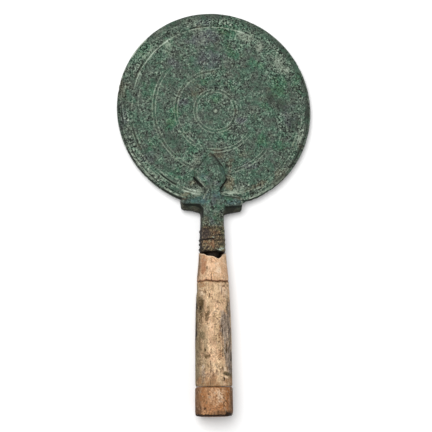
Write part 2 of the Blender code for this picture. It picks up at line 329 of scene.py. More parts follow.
class Value:
    """A shader socket that Python's arithmetic turns into Math nodes."""

    def __init__(self, shader, socket):
        self.shader, self.socket = shader, socket

    def maths(self, operation, first, second):
        return self.shader.node("ShaderNodeMath", {"operation": operation}, {0: first, 1: second})

    def __add__(self, other):
        return self.maths("ADD", self, other)

    def __radd__(self, other):
        return self.maths("ADD", other, self)

    def __sub__(self, other):
        return self.maths("SUBTRACT", self, other)

    def __rsub__(self, other):
        return self.maths("SUBTRACT", other, self)

    def __mul__(self, other):
        return self.maths("MULTIPLY", self, other)

    def __rmul__(self, other):
        return self.maths("MULTIPLY", other, self)

    def at_least(self, least):
        return self.maths("MAXIMUM", self, least)

    def step(self, low, high):
        """A soft step from 0 at low to 1 at high."""
        return self.shader.node("ShaderNodeMapRange", {"interpolation_type": "SMOOTHSTEP"},
                                {0: self, 1: low, 2: high, 3: 0.0, 4: 1.0})


class Finish:
    """One material: a principled shader, and the nodes of its pattern."""

    def __init__(self, name):
        self.material = bpy.data.materials.new(name)
        self.material.use_nodes = True
        self.tree = self.material.node_tree
        self.tree.nodes.clear()
        self.place = self.node("ShaderNodeAttribute", {"attribute_name": "place"}, output=1)

    def node(self, kind, settings=None, sockets=None, output=0):
        """Add a node, and give back one of its outputs as a value."""
        sockets = {key: getattr(value, "socket", value) for key, value in (sockets or {}).items()}
        made = add_node(self.tree, kind, settings, sockets)
        return Value(self, made.outputs[output]) if made.outputs else None

    def marked(self, *names):
        """The numbers kept on the vertices under these names."""
        return [self.node("ShaderNodeAttribute", {"attribute_name": name}, output=2) for name in names]

    def shifted(self, size, shift, stretch=(1, 1, 1)):
        """The place on the mirror, scaled so that a pattern's lumps get their size."""
        scale = tuple(1 / (size * part) for part in stretch)
        location = (shift, 0.37 * shift, -0.61 * shift)
        return self.node("ShaderNodeMapping", {"vector_type": "POINT"},
                         {"Vector": self.place, "Location": location, "Scale": scale})

    def cloudy(self, size, shift, detail=3.0, roughness=0.6, stretch=(1, 1, 1), warp=0.0):
        """Layered noise, with most of its values from 0.3 to 0.7."""
        return self.node("ShaderNodeTexNoise", {"noise_dimensions": "3D"},
                         {"Vector": self.shifted(size, shift, stretch), "Scale": 1.0, "Detail": detail,
                          "Roughness": roughness, "Distortion": warp})

    def cells(self, size, shift):
        """The distance to the nearest of many scattered points."""
        return self.node("ShaderNodeTexVoronoi", {"feature": "F1"},
                         {"Vector": self.shifted(size, shift), "Scale": 1.0, "Randomness": 1.0})

    def mix(self, share, first, second):
        """Second over first, as strongly as the share."""
        return self.node("ShaderNodeMix", {"data_type": "RGBA"}, {0: share, 6: first, 7: second}, output=2)

    def brighten(self, colour, gain):
        """A colour with its strength changed by a number that varies."""
        return self.node("ShaderNodeVectorMath", {"operation": "SCALE"}, {0: colour, "Scale": gain})

    def relief(self, height, depth, strength):
        """The bump of a surface that rises by the depth, in millimetres, where the height is 1."""
        return self.node("ShaderNodeBump", {},
                         {"Height": height, "Distance": depth * MM, "Strength": strength})

    def build(self, sockets):
        """Join the pattern to the shader, and the shader to the material."""
        surface = self.node("ShaderNodeBsdfPrincipled", {}, sockets)
        self.node("ShaderNodeOutputMaterial", {}, {"Surface": surface})
        return self.material


def patina():
    """Old green patina, patchy and pitted, with earth, bare brown metal, pale worn edges, painted shade and
    painted highlights.
    """
    f = Finish("green_patina")
    emerald, umber, violet, earth, teal = f.marked("emerald", "umber", "violet", "earth", "teal")
    rust, ochre, pale, dark, bristle = f.marked("rust", "ochre", "pale", "dark", "bristle")

    broad = f.cloudy(15, 3.1, 4.0, warp=0.6)
    patchy = f.cloudy(6.0, 7.7, 3.0, 0.58, warp=0.6)
    mottled = f.cloudy(2.6, 1.3, 3.0, 0.65, warp=0.6)
    fine = f.cloudy(1.4, 9.2, 2.0, 0.65, warp=1.0)
    grit = f.cloudy(1.0, 4.4, 1.0, 0.65, warp=0.4)

    spread = (0.6 * patchy + 0.4 * broad).step(0.42, 0.58)
    colour = f.mix(spread, paint(92, 104, 93), paint(77, 105, 88))
    for share, low, high, strength, tone in (
            (emerald * 0.55 + 0.8 * patchy + 0.25 * mottled, 0.57, 0.98, 0.85, paint(60, 109, 84)),
            (emerald * 0.25 + f.cloudy(4.4, 33.0) + 0.3 * mottled, 0.72, 0.98, 0.4, paint(88, 112, 78)),
            (violet * 0.6 + f.cloudy(5.0, 15.2) + 0.25 * mottled, 0.66, 1.06, 0.7, paint(94, 97, 101)),
            (umber * 0.45 + f.cloudy(5.0, 21.5) + 0.25 * mottled, 0.66, 1.08, 0.8, paint(98, 91, 74))):
        colour = f.mix(share.step(low, high) * strength, colour, tone)
    colour = f.mix(teal * (mottled + 0.25).step(0.5, 0.9) * 0.8, colour, paint(72, 108, 110))
    rust_tone = f.mix(f.cloudy(4.0, 27.0).step(0.38, 0.62), paint(90, 75, 58), paint(116, 97, 70))
    for share, tone in ((ochre, paint(134, 96, 68)), (umber, paint(68, 55, 51)),
                        (emerald, paint(92, 92, 66))):
        rust_tone = f.mix((share + 2 * (mottled - 0.5)).step(0.15, 0.95), rust_tone, tone)
    colour = f.mix(rust * (0.75 + 0.5 * mottled).step(0.7, 1.05), colour, rust_tone)
    earthy = (earth + 1.6 * mottled + 1.2 * fine - 1.4).step(0.2, 0.9)
    colour = f.mix(earthy * 0.7, colour, paint(128, 123, 98))

    relief = 0.24 * mottled + 0.45 * fine + 0.45 * grit + 0.1 * patchy - 0.62
    uneven = 0.75 + 0.5 * f.cloudy(7.0, 50.5).step(0.38, 0.62)
    lively = (relief * (0.6 + 1.0 * bristle) + bristle * (0.3 * grit - 0.15)) * uneven
    colour = f.brighten(colour, 0.78 + 0.6 * (patchy - 0.5) + 6.0 * lively)
    up, down = lively.step(0.03, 0.13), 1 - lively.step(-0.13, -0.02)
    colour = f.mix(up * 0.65, colour, f.mix(rust, paint(166, 184, 164), paint(178, 160, 122)))
    colour = f.mix(down * 0.7, colour, f.mix(rust, paint(18, 30, 22), paint(34, 22, 14)))
    pits = (1 - f.cells(2.0, 12.0).step(0.1, 0.32)) * mottled.step(0.4, 0.6)
    colour = f.mix(pits * 0.5, colour, paint(34, 46, 37))
    # the pale mark's colour: pale bloom and worn metal, and painted highlights on lit edges and on the rim
    bloom_and_highlight = f.mix(pale.step(0.8, 1.0), paint(156, 168, 150), paint(204, 218, 200))
    colour = f.mix((pale * (1 + 5.0 * relief)).step(0.1, 0.95) * 0.75, colour, bloom_and_highlight)
    # the dark mark's colour: dark crust, and painted shade by the leaf, on the rim and under the crossbar
    crust_and_shade = f.mix(rust, paint(20, 23, 16), paint(24, 14, 8))
    colour = f.mix((dark + 2.0 * relief).step(0.05, 1.0) * 0.96, colour, crust_and_shade)
    return f.build({"Base Color": colour, "Roughness": 0.5 + 0.35 * fine + 0.1 * earth, "Metallic": 0.05,
                    "Normal": f.relief(relief - 0.2 * pits, 2.0, 1.0), "Specular IOR Level": 0.25})


def bone(name, body, tint, deep, blush, dirt, stain, texture):
    """Old bone: streaky and pitted, dulled by soil, with stains, chalky flecks, soot and painted shade."""
    f = Finish(name)
    brown, grey, olive, soil, soot, chalk = f.marked("brown", "grey", "olive", "soil", "soot", "chalk")

    streak = f.cloudy(1.4, 2.0, stretch=(1, 5, 1), warp=0.3)
    cloud = f.cloudy(6.0, 4.0, stretch=(1, 1.6, 1), warp=0.5)
    mottled = f.cloudy(2.6, 8.5, 3.0, 0.65, stretch=(1, 1.4, 1), warp=0.6)
    fine = f.cloudy(1.4, 11.0, 2.0, 0.65, stretch=(1, 1.3, 1), warp=0.8)
    grit = f.cloudy(0.9, 14.0, 1.0, 0.65, warp=0.4)
    dashes = f.cloudy(1.3, 37.0, stretch=(1, 3, 1), warp=0.5).step(0.52, 0.6)
    ragged = 2.2 * mottled + 1.6 * fine - 1.9
    charred, grimy = f.mix(0.5, stain, paint(54, 34, 16)), f.mix(0.5, dirt, paint(66, 46, 28))

    colour = f.mix((0.6 * cloud + 0.4 * mottled).step(0.44, 0.56), body, tint)
    colour = f.mix(f.cloudy(4.0, 19.0, stretch=(1, 1.4, 1)).step(0.49, 0.62) * 0.7, colour, deep)
    colour = f.mix(f.cloudy(4.5, 23.0, stretch=(1, 1.5, 1)).step(0.49, 0.57) * 0.45, colour, blush)
    colour = f.mix((soil + 0.8 * ragged).step(-0.1, 1.1) * 0.95, colour, dirt)
    colour = f.mix((brown + ragged).step(0.15, 0.85) * 0.8, colour, stain)
    grey_tone = f.mix(streak.step(0.43, 0.57), paint(108, 96, 89), paint(148, 134, 121))
    colour = f.mix((grey + ragged).step(0.2, 0.8) * 0.85, colour, grey_tone)
    colour = f.mix(dashes * (0.1 + 0.45 * soil + 0.7 * grey), colour, grimy)
    colour = f.mix((olive + 1.3 * ragged).step(0.25, 0.75) * 0.85, colour, paint(70, 52, 26))
    relief = 0.35 * mottled + 0.5 * fine + 0.3 * grit + 0.15 * streak - 0.65
    uneven = f.cloudy(7.0, 31.0, 2.0, 0.5).step(0.45, 0.55)
    colour = f.brighten(colour, 1.0 + 4.8 * texture * relief.at_least(-0.08) * (0.6 + 0.7 * uneven))
    colour = f.mix((1 - relief.step(-0.1, -0.03)) * 0.22 * texture * uneven, colour, charred)
    colour = f.mix(relief.step(0.03, 0.11) * 0.2, colour, tint)
    colour = f.mix((chalk + ragged).step(0.2, 0.8) * 0.6, colour, paint(222, 198, 170))
    # soot, and painted shade inside the bore and along the end's lower rim
    colour = f.mix((soot + 0.6 * ragged).step(0.15, 0.75) * 0.96, colour, paint(28, 15, 7))
    return f.build({"Base Color": colour, "Roughness": 0.5 + 0.3 * fine + 0.1 * streak,
                    "Normal": f.relief(relief, 1.0, 0.8), "Specular IOR Level": 0.12})


# --- The disc --------------------------------------------------------------------------------

def disc_rows():
    """The disc's surface from the middle of the back to the middle of the face.

    Each row is (radius, height, share of the rings' centre); back rows get their height later.
    """
    rows, radius = [], ROW_GAP
    while radius < RIM_EDGE[0][0] - 0.15:
        rows.append((radius, np.nan, 1 - smooth(radius, 62.4, 64.6)))
        fine = min(abs(radius - ring[0]) for ring in RINGS) < 2.0 or radius > RIM_START - 1
        radius += FINE_GAP if fine else ROW_GAP
    rows += [(radius, height, 0.0) for radius, height in RIM_EDGE]
    start = RIM_EDGE[-1][0] - FACE_GAP
    return rows + [(radius, 0.0, 0.0) for radius in np.arange(start, 1.0, -FACE_GAP)]


def points_around(radius):
    """How many points go round a row: fewer towards the middle."""
    count = STEPS_AROUND
    while radius < FEWER_STEPS_BELOW and count > 20:
        count //= 2
        radius *= 2
    return count


def polar_mesh(rows):
    """A closed skin through rows of points that go round, with one point at each end."""
    points, faces, starts, start = [[(*RING_CENTRE, np.nan)]], [], [], 1
    for radius, height, share in rows:
        count = points_around(radius)
        turn = np.arange(count) * math.tau / count
        x = radius * np.cos(turn) + share * RING_CENTRE[0]
        y = radius * np.sin(turn) + share * RING_CENTRE[1]
        points.append(np.stack([x, y, np.full(count, height)], 1))
        starts.append((start, count))
        start += count
    for (first, count), (second, other) in zip(starts, starts[1:]):
        step = np.arange(max(count, other))
        if count == other:
            after = (step + 1) % count
            faces += np.stack([first + step, second + step, second + after, first + after], 1).tolist()
            continue
        small, large, least = (first, second, count) if count < other else (second, first, other)
        j = np.arange(least)
        k = (j + 1) % least
        left, middle, right = large + 2 * j, large + 2 * j + 1, large + 2 * k
        trio = [np.stack([small + j, left, middle], 1), np.stack([small + j, middle, small + k], 1),
                np.stack([small + k, middle, right], 1)]
        for group in trio:
            faces += (group if count < other else group[:, ::-1]).tolist()
    for centre, (first, count), turned in ((0, starts[0], False), (start, starts[-1], True)):
        for i in range(count):
            pair = (first + i, first + (i + 1) % count)
            faces.append((centre, *(reversed(pair) if turned else pair)))
    vertices = np.concatenate([*points, [(0.0, 0.0, 0.0)]])
    mesh = bpy.data.meshes.new("disc")
    mesh.from_pydata(vertices.tolist(), [], faces)
    return mesh, vertices


def sector(angle, middle, half, soft):
    """1 inside a sector of the disc given in degrees, 0 well outside it."""
    away = np.abs((angle - middle + 180) % 360 - 180)
    return 1 - smooth(away, half - soft / 2, half + soft / 2)


# Patches by what they show: three tones, dull and pale ones, earth, and where the grain is strong or weak
DISC_SPOTS = {
    "emerald": [
        (-33, 46, 5, 6, 0.8), (-50, 41, 9, 6, 0.7, 50), (10, 58, 9, 5, 1), (13, 42, 4, 10, 0.8, 35),
        (30, 34, 9, 4, 0.5), (48, 18, 8, 9, 1), (38, 4, 6, 4, 0.7, -20), (61, 22, 4, 10, 0.6),
        (-47, 14, 7, 9, 0.6), (-31, -7, 4.5, 13, 1, -25), (-7, 21, 5, 3, 0.8), (0, 7, 4, 5, 0.7),
        (12, 17, 4, 5, 0.5, 20), (33, -22, 5, 5, 0.9), (46, -26, 7, 4, 0.7, 20), (9, -18, 5, 4, 0.5),
        (-17, -30, 5, 6, 0.6), (-27, -47, 5, 5, 0.7), (28, -46, 6, 4, 0.4), (-47, -28, 3, 8, 0.5, -15)],
    "umber": [
        (-14, 13, 9, 6, 0.55, 20), (3, -32, 5, 4, 0.8), (9, -40, 5, 4, 0.7), (7, -51, 5, 5, 1),
        (-15, -52, 5, 3, 0.7), (31, -55, 9, 3, 0.9, 30), (25, 52, 3, 6, 0.5), (62, -22, 3, 9, 0.5),
        (20, -32, 5, 4, 0.4), (-66, 14, 4, 13, 0.7), (46, -48, 12, 4, 0.7, 45), (-10, 60, 8, 3, 0.5)],
    "violet": [
        (-8, 52, 13, 5, 1), (-4, 37, 13, 9, 0.7), (-8, 63, 9, 4, 0.5), (-23, 4, 3.5, 3.5, 1),
        (20, -8, 5, 3, 0.9), (-30, 33, 6, 5, 0.6), (-49, -36, 7, 5, 0.5, 30), (54, -3, 6, 7, 0.6),
        (25, -40, 6, 4, 0.6), (-66, -6, 3, 10, 0.5)],
    "shade": [
        (40, 12, 4, 6, 0.38, 30), (49, 4, 6, 6, 0.42, -30), (-30, -22, 7, 5, 0.35), (30, 29, 5, 4, 0.3, 20),
        (-67, -8, 3, 20, 0.15), (-43, 20, 3, 3, 0.45), (33, 18, 5, 4, 0.3), (56, -9, 5, 10, 0.35),
        (33, -31, 5, 4, 0.3), (2, -40, 2.5, 6, 0.5), (-8, 61, 12, 2, 0.2), (43.5, 10, 5, 5, 0.25),
        (18.4, -45, 5, 4, 0.25), (-39, -23, 5, 5, 0.25), (-66.5, 9.4, 3, 6, 0.3), (-63, -14, 5, 6, 0.25),
        (67, -1, 3, 7, 0.3), (30, 8.4, 4, 5, 0.2), (-15, 0, 4, 5, 0.2)],
    "pale": [
        (-46, 40, 7, 4, 0.55, 45), (-33, 46, 6, 4, 0.6, 40), (-12, 57, 8, 3, 0.45),
        (22, 54, 7, 4, 0.75, -25), (-40, 56, 5, 2.5, 0.5, 35), (-10, 50, 5, 3, 0.35),
        (34, 47, 5, 3.5, 0.75, -35), (47, 35, 4, 6, 0.8, -30), (52, 30, 4, 4, 0.9),
        (-57, -38, 3, 9, 0.6, 30), (-49, -49, 3, 7, 0.5, 45), (-17, -60.8, 8, 2.2, 1.1, -10),
        (13, -58.6, 8, 1.8, 0.7, 6), (8, -60, 5, 1.5, 1.3), (14, -60.8, 5, 1.3, 1.3, -4),
        (45, -50.5, 12, 3, 0.5, 44), (32, -57, 5, 3, 0.3, 30), (62, -20, 2.5, 6, 0.5, -20),
        (0, 8, 5, 4, 0.25), (8, 66, 5, 2, 0.5), (-11.5, -57.8, 4.5, 2.6, 0.9, -30), (-13.6, -37, 5, 5, 0.65),
        (-54.5, -40, 4, 4, 0.6, 45), (-10, 51, 7, 6, 0.35), (-17, 65, 9, 3, 0.5, 15),
        (-2, 67.5, 6, 2.4, 0.4), (-32, 42, 6, 6, 0.35), (-44, 51, 6, 5, 0.35, 40), (-53.7, 11, 5, 7, 0.35),
        (6.5, 45, 6, 5, 0.3), (28, 57, 6, 4, 0.35, -25), (45, 42, 5, 5, 0.3), (55, 20, 5, 6, 0.3),
        (9, 33.4, 5, 5, 0.3), (-47, -49, 4, 4, 0.35, 45), (53.5, -40.6, 5, 5, 0.35), (4, 5, 3, 3, 0.4),
        (-17, -29, 5, 5, 0.25), (-27, 5, 6, 5, 0.25), (-46, 17, 7, 5, 0.25), (34, 46, 5, 4, 0.25)],
    "earth": [
        (9, -54.5, 3.2, 5.5, 1), (-17.5, -54, 3, 5, 0.6, 30), (-12.5, -36, 3, 6, 0.4, -35),
        (9.5, -47, 2, 5, 0.5, 15), (25, -58, 11, 2.5, 0.6, 24), (32, -52, 5, 2, 0.5, 30),
        (-22.5, -62.8, 4, 2.4, 1, -20), (58, -25, 2, 5, 0.4, -20), (6, -33.5, 6, 1.5, 0.4, -35)],
    "coarse": [
        (-60, -36, 6, 14, 1, 35), (-47, -54, 5, 9, 0.9, 50), (7, 63, 13, 5, 0.9), (45, 38, 9, 13, 0.7, 35),
        (20, 50, 12, 8, 0.6, -20), (-56, 27, 5, 9, 0.7, -20), (-46, 42, 6, 7, 0.6, 40), (-38, 24, 5, 4, 0.5),
        (-15, 60, 7, 5, 0.6), (-12, -56, 7, 6, 1), (30, -63, 15, 4, 0.8, 20), (51, -47, 5, 9, 0.7, -40),
        (-66, -8, 3, 7, 0.7), (49, -10, 4, 11, 0.4), (30, -38, 6, 5, 0.4), (12, -24, 9, 7, 0.35),
        (13, -9, 6, 5, 0.3), (0, 26, 7, 6, 0.4)],
    "calm": [
        (-38, -10, 7, 18, 0.6, 10), (-30, -27, 9, 8, 0.6), (36, -16, 8, 12, 0.5), (-18, 17, 7, 6, 0.5),
        (0, 45, 4, 12, 0.4), (30, 8, 6, 5, 0.4)]}
# Arcs on the rim: the dark ones are painted shade on its edge and slopes, the pale ones and the specks
# partly painted highlights, partly bare metal
RIM_ARCS = [                        # radius, first and last angle, half width, darkness, paleness
    (69.3, 165, 190, 0.4, 0.6, 0), (68.7, 190, 203, 0.7, 0.8, 0), (68.5, 206, 215, 0.45, 0, 0.9),
    (69.6, 203, 236, 0.45, 0.8, 0), (66.9, 205, 216, 0.4, 0.7, 0), (69.5, 235, 251, 0.8, 1, 0),
    (68, 236, 248, 0.45, 0, 0.8), (66.4, 238, 249, 0.4, 0.7, 0), (65.1, 243, 254, 0.4, 0, 0.5),
    (61.3, 229, 244, 0.4, 0.8, 0), (60.8, 197, 207, 0.4, 0.6, 0), (60.2, 222, 246, 0.5, 0, 0.5),
    (69.6, 283, 304, 0.6, 1, 0), (69.9, 303, 321, 0.35, 0.8, 0), (68.5, 289, 309, 0.45, 0, 0.9),
    (67.4, 309, 319, 0.45, 0.8, 0), (68.6, 308, 318, 0.35, 0, 0.6), (65.6, 292, 296, 0.9, 0.9, 0),
    (67.7, 322, 344, 0.6, 0.7, 0), (69.2, 325, 385, 0.5, 0, 0.35), (68.3, 343, 385, 0.4, 0.8, 0),
    (69.7, 133, 151, 0.4, 0, 1), (61, 145, 162, 0.4, 0.6, 0), (67.2, 114, 119, 0.8, 0.5, 0)]
RIM_SPECKS = [                      # angle, radius
    (187, 65), (188.5, 63), (194, 65), (199, 64.5), (208, 66), (222.3, 65), (224, 66.6), (229, 66),
    (231.5, 66.3), (241.5, 68), (102, 62.5), (107.5, 63.2), (79, 63.5), (81, 64.6), (83, 63.5), (290, 58.6),
    (293.5, 59), (316, 65.8), (345, 66.3), (348, 65.5), (38, 60), (43, 63.3)]
SLIT_PATHS = [[(-16.2, -48.6), (-15.1, -49.8), (-12.4, -52.6), (-10.2, -55.2), (-8.1, -57.6)],
              [(8.4, -49.0), (7.2, -50.9), (4.9, -53.9), (3.5, -56.6), (3.1, -59.0)]]
LEAF_SHADE = [(0.6, [(-3.6, -30.4), (-7.6, -35.9), (-11.9, -41.3), (-15.6, -43.4)]),
              (0.8, [(-3.4, -30.4), (0.2, -35.0), (3.9, -39.8), (6.6, -43.6)])]


def ring_grooves(flat, angle):
    """How deep the turned rings are cut at each point, and how high their lips stand."""
    groove, lip = np.zeros((2, len(flat)))
    for number, (ring, ring_x, ring_y, left, places) in enumerate(RINGS):
        away = np.hypot(flat[:, 0] - ring_x, flat[:, 1] - ring_y) - ring
        away += 0.15 * lumps(flat, 6, 40 + number)
        uneven = 1 + 0.3 * rough(flat, 7, 50 + number)
        inside = [(sector(angle, middle, half, 16), strengths) for middle, half, *strengths in places]
        shown = [left + sum(share * strengths[part] for share, strengths in inside) for part in range(3)]
        inner, outer, cut = (np.clip(part * uneven, 0, 1) for part in shown)
        groove += cut * (1 - smooth(np.abs(away), 0.2, 0.8))
        lip += inner * np.exp(-((away + 1.1) / 0.38) ** 2) + outer * np.exp(-((away - 1.15) / 0.38) ** 2)
    return groove, lip


def rim_grooves(flat, from_middle, left):
    """How deep the lines turned into the rim are, and how high their lips stand, where they are left."""
    groove, lip = np.zeros((2, len(flat)))
    for line, strength in RIM_LINES:
        away = np.abs(from_middle - line + 0.12 * lumps(flat, 5, 47))
        groove += strength * left * (1 - smooth(away, 0.2, 0.7))
        lip += strength * left * np.exp(-((away - 0.85) / 0.35) ** 2)
    return groove, lip


def rim_shade_and_wear(flat, from_middle, angle):
    """How dark and how pale the rim is in arcs and specks: painted shade and highlights, and bare worn
    metal.
    """
    shade, shine = np.zeros((2, len(flat)))
    for radius, first, last, wide, darkness, paleness in RIM_ARCS:
        away = (from_middle - radius + 0.12 * lumps(flat, 4, 49)) / (wide + 0.2)
        along = (angle - first) % 360
        arc = np.exp(-away * away) * smooth(along, 0, 2)
        arc *= 1 - smooth(along, last - first - 2, last - first)
        arc *= 1.05 + 0.45 * rough(flat, 3, 46)
        shade, shine = np.maximum(shade, darkness * arc), np.maximum(shine, paleness * arc)
    for turn, radius in RIM_SPECKS:
        turn = math.radians(turn)
        away = np.hypot(flat[:, 0] - radius * math.cos(turn), flat[:, 1] - radius * math.sin(turn))
        shine = np.maximum(shine, 1 - smooth(away, 0.4, 1.2))
    return shade, shine


def leaf_slits(x, y):
    """The gaps beside the leaf's neck, which fade towards it, and which are painted black as shade."""
    slit_and_shade = np.zeros(len(x))
    for path in SLIT_PATHS:
        distance, along = near_path(x, y, path)
        fade = smooth(along, 0.02, 0.15) * (1 - 0.75 * smooth(along, 0.6, 1.0))
        slit_and_shade = np.maximum(slit_and_shade, fade * (1 - smooth(distance, 0.6, 1.35)))
    return slit_and_shade


def make_disc(finish):
    """The turned disc: ring grooves with worn lips, lined rim, pits, chips, patches, painted shade and
    highlights.
    """
    mesh, points = polar_mesh(disc_rows())
    flat = points.copy()
    flat[:, 2] = 0
    x, y = flat[:, 0], flat[:, 1]
    back = np.isnan(points[:, 2])
    from_middle = np.hypot(x, y)
    angle = np.degrees(np.arctan2(y, x)) % 360
    low_left, low_right = sector(angle, 225, 75, 50), sector(angle, 315, 45, 40)
    outer = smooth(from_middle, 52, 66)
    centre = np.hypot(x - RING_CENTRE[0], y - RING_CENTRE[1])

    # the turned and worn back
    groove, lip = ring_grooves(flat, angle)
    lines_left = np.clip(0.15 + 0.85 * low_left + 0.55 * low_right + 0.3 * rough(flat, 7, 8), 0.05, 1)
    rim_groove, rim_lip = rim_grooves(flat, from_middle, lines_left)
    pitted = smooth(lumps(flat, 1.7, 61) + 0.5 * lumps(flat, 3.7, 62), 0.45, 0.9)
    swollen = smooth(rough(flat, 5.0, 63), 0.25, 0.9)
    slit_and_shade = leaf_slits(x, y)
    # painted shade: dark outlines on the disc along the leaf's two upper edges, with a slight dip under them
    leaf_edge_shade = strokes(x, y, LEAF_SHADE, 0.3, 1.0) * smooth(rough(flat, 4, 66), -1.1, 0.3)
    height = DISC_WEB + (RIM_HEIGHT - DISC_WEB) * smooth(from_middle, RIM_START, RIM_CREST)
    height += LIP_HEIGHT * lip - RING_DEPTH * groove - RIM_LINE_DEPTH * rim_groove
    height -= 0.05 * (1 + rough(flat, 2.6, 64)) * (0.7 + 0.8 * outer) + (0.1 + 0.1 * outer) * pitted
    height += 0.06 * swollen - 1.1 * slit_and_shade - 0.2 * leaf_edge_shade
    height -= 0.45 * (1 - smooth(centre, 0.8, 1.7)) - 0.35 * (1 - smooth(centre, 0.2, 0.9))

    # the polished face, and the chipped edge
    face = points[:, 2] == 0
    points[back, 2] = height[back]
    points[face, 2] = 0.02 * (1 + lumps(flat, 6, 70))[face]
    chip = smooth(lumps(flat, 2.6, 71) + 0.6 * lumps(flat, 8, 72), 0.45, 1.2)
    chip *= smooth(from_middle, 67.8, 69.8)
    wear = 0.06 * (1 + lumps(flat, 4, 73)) * smooth(from_middle, 68, 70)
    points[:, :2] *= (1 - (0.55 * chip + wear) / DISC_RADIUS)[:, None]

    # streaks that follow the turning, and what shows on the rim and on its outer wall, with painted shade
    # and highlights on the rim
    on_back = smooth(points[:, 2], 0.5, 1.6)
    edge = smooth(from_middle, 69.3, 69.9)
    wall = smooth(from_middle, 69.2, 69.6) * (1 - smooth(points[:, 2], 2.55, 2.95))
    # painted shade: the rim is darker all round, except at the lower left where its slope faces the light
    shaded_rim_band = smooth(from_middle, 65.2, 66.6) * (1 - low_left) * (0.8 + 0.3 * rough(flat, 9, 48))
    streaked = smooth(from_middle, 50, 57) * (0.4 + 0.6 * np.maximum(low_left, low_right)) * (1 - shaded_rim_band)
    reach = np.maximum(from_middle, 1)
    turned = lumps(np.stack([60 * x / reach, 60 * y / reach, 11 * from_middle], 1), 8.0, 85)
    streak_pale, streak_dark = (0.45 * streaked * smooth(part, 0.2, 0.7) for part in (turned, -turned))
    shade, shine = rim_shade_and_wear(flat, from_middle, angle)
    shade, shine, shaded_rim_band = shade * (1 - 0.7 * wall), shine * (1 - wall), shaded_rim_band * (1 - wall)

    warped = flat + 2.2 * np.stack([rough(flat, 7, 81), rough(flat, 7, 82), 0 * x], 1)
    cover = {kind: spots(warped[:, 0], warped[:, 1], places) for kind, places in DISC_SPOTS.items()}
    pale = 0.8 * cover["pale"] + 0.85 * lip + 0.5 * rim_lip + streak_pale
    pale = np.maximum(pale * (1 - edge) * (1 - shade), shine) * on_back
    pale += 0.85 * (1 - smooth(centre, 0.9, 1.9)) * back + 0.3 * wall * smooth(rough(points, 4, 83), 0, 0.9)
    dull = cover["shade"] + streak_dark + 0.2 * groove + 0.3 * rim_groove + 0.36 * shaded_rim_band
    dull += 0.15 * edge * (1 - shine)
    # painted shade: the slits beside the leaf go black, the leaf's edges get dark outlines, and the rim's
    # dark arcs and band darken it
    dark = np.maximum.reduce([1.5 * slit_and_shade, 0.9 * leaf_edge_shade, shade, dull])
    dark += 0.6 * smooth(centre, 1.2, 1.7) * (1 - smooth(centre, 2.0, 2.8))
    bristle = 0.2 + 0.15 * outer + 0.6 * cover["coarse"] - 0.25 * cover["calm"]
    bristle += 0.3 * smooth(from_middle, 61, 64) * (1 - smooth(shade + shine, 0.2, 0.8))
    bristle *= (1 - 0.4 * streaked) * (1 - 0.8 * shaded_rim_band) * (1 - 0.5 * np.maximum(groove, lip))
    keep_marks(
        mesh, points, pale=pale, violet=cover["violet"], rust=0 * x, ochre=0 * x, teal=0 * x,
        emerald=cover["emerald"] + 0.25 * lip + 0.25 * rim_lip,
        umber=cover["umber"] + 0.3 * groove + 0.5 * (1 - on_back),
        earth=cover["earth"] * (1 - slit_and_shade) * on_back,
        dark=dark * on_back + 0.3 * wall * smooth(rough(points, 5, 84), 0, 0.9),
        bristle=bristle * on_back)
    move_to(mesh, lay_down(points))
    finish_piece("mirror_disc", mesh, finish, "disc")


# --- The fitting -----------------------------------------------------------------------------

def corner_at(corners, i):
    """A corner of an outline, the directions of its two sides, and the angle between them."""
    corner, last, following = (Vector(corners[k % len(corners)][:2]) for k in (i, i - 1, i + 1))
    before, after = (last - corner).normalized(), (following - corner).normalized()
    return corner, before, after, before.angle(after)


def inset_corners(corners, margin):
    """Move every side of a counter-clockwise outline of corners inwards."""
    moved = []
    for i, (*_, radius) in enumerate(corners):
        corner, before, after, opening = corner_at(corners, i)
        side = -1 if after.cross(before) < 0 else 1
        corner += (before + after).normalized() * (side * margin / math.sin(opening / 2))
        moved.append((*corner, max(radius - side * margin, 0.15)))
    return moved


def rounded_outline(corners, margin, arc_steps=10):
    """A closed outline from (x, y, radius) corners, set in by a margin, each rounded by an arc."""
    points = []
    corners = inset_corners(corners, margin)
    for i, (*_, radius) in enumerate(corners):
        corner, before, after, opening = corner_at(corners, i)
        centre = corner + (before + after).normalized() * radius / math.sin(opening / 2)
        start = corner + before * radius / math.tan(opening / 2) - centre
        end = corner + after * radius / math.tan(opening / 2) - centre
        sweep = math.pi - opening
        for step in range(arc_steps + 1):
            share = step / arc_steps
            spoke = start * math.sin((1 - share) * sweep) + end * math.sin(share * sweep)
            points.append(centre + spoke / math.sin(sweep))
    return points


def crossbar_corners(drop, stalk_top, slope):
    """The crossbar's corners at one height; slope is how far its top edge has come down."""
    return [(2.2, stalk_top, 0.4), (-7.3, stalk_top, 0.4), (-8.0, -61.8 - slope, 1.4),
            (-25.2, -64.7 - 0.55 * slope, 1.6 - 0.4 * slope),
            (-24.3, -68.2 - 1.2 * drop - 0.2 * slope, 2.2 - 0.4 * slope), (-16.5, -68.5 - 1.32 * drop, 3.0),
            (-10.9, -69.4 - 1.5 * drop, max(4.2 - drop, 1.3)), (-10.6, -78.5, 0.4), (4.8, -78.5, 0.4),
            (5.2, -70.0 - 1.7 * drop, 1.8), (9.6, -69.6 - 1.45 * drop, 3.0), (18.4, -69.0 - 1.2 * drop, 2.0),
            (19.2, -62.6 - slope, 1.8), (3.4, -61.4 - slope, 1.4)]


def add_loft(body, sections):
    """Add a solid through closed sections of the same number of points to a bmesh."""
    rings = [[body.verts.new(point) for point in section] for section in sections]
    for lower, upper in zip(rings, rings[1:]):
        for i in range(len(lower)):
            j = (i + 1) % len(lower)
            body.faces.new((lower[i], lower[j], upper[j], upper[i]))
    body.faces.new(reversed(rings[0]))
    body.faces.new(rings[-1])


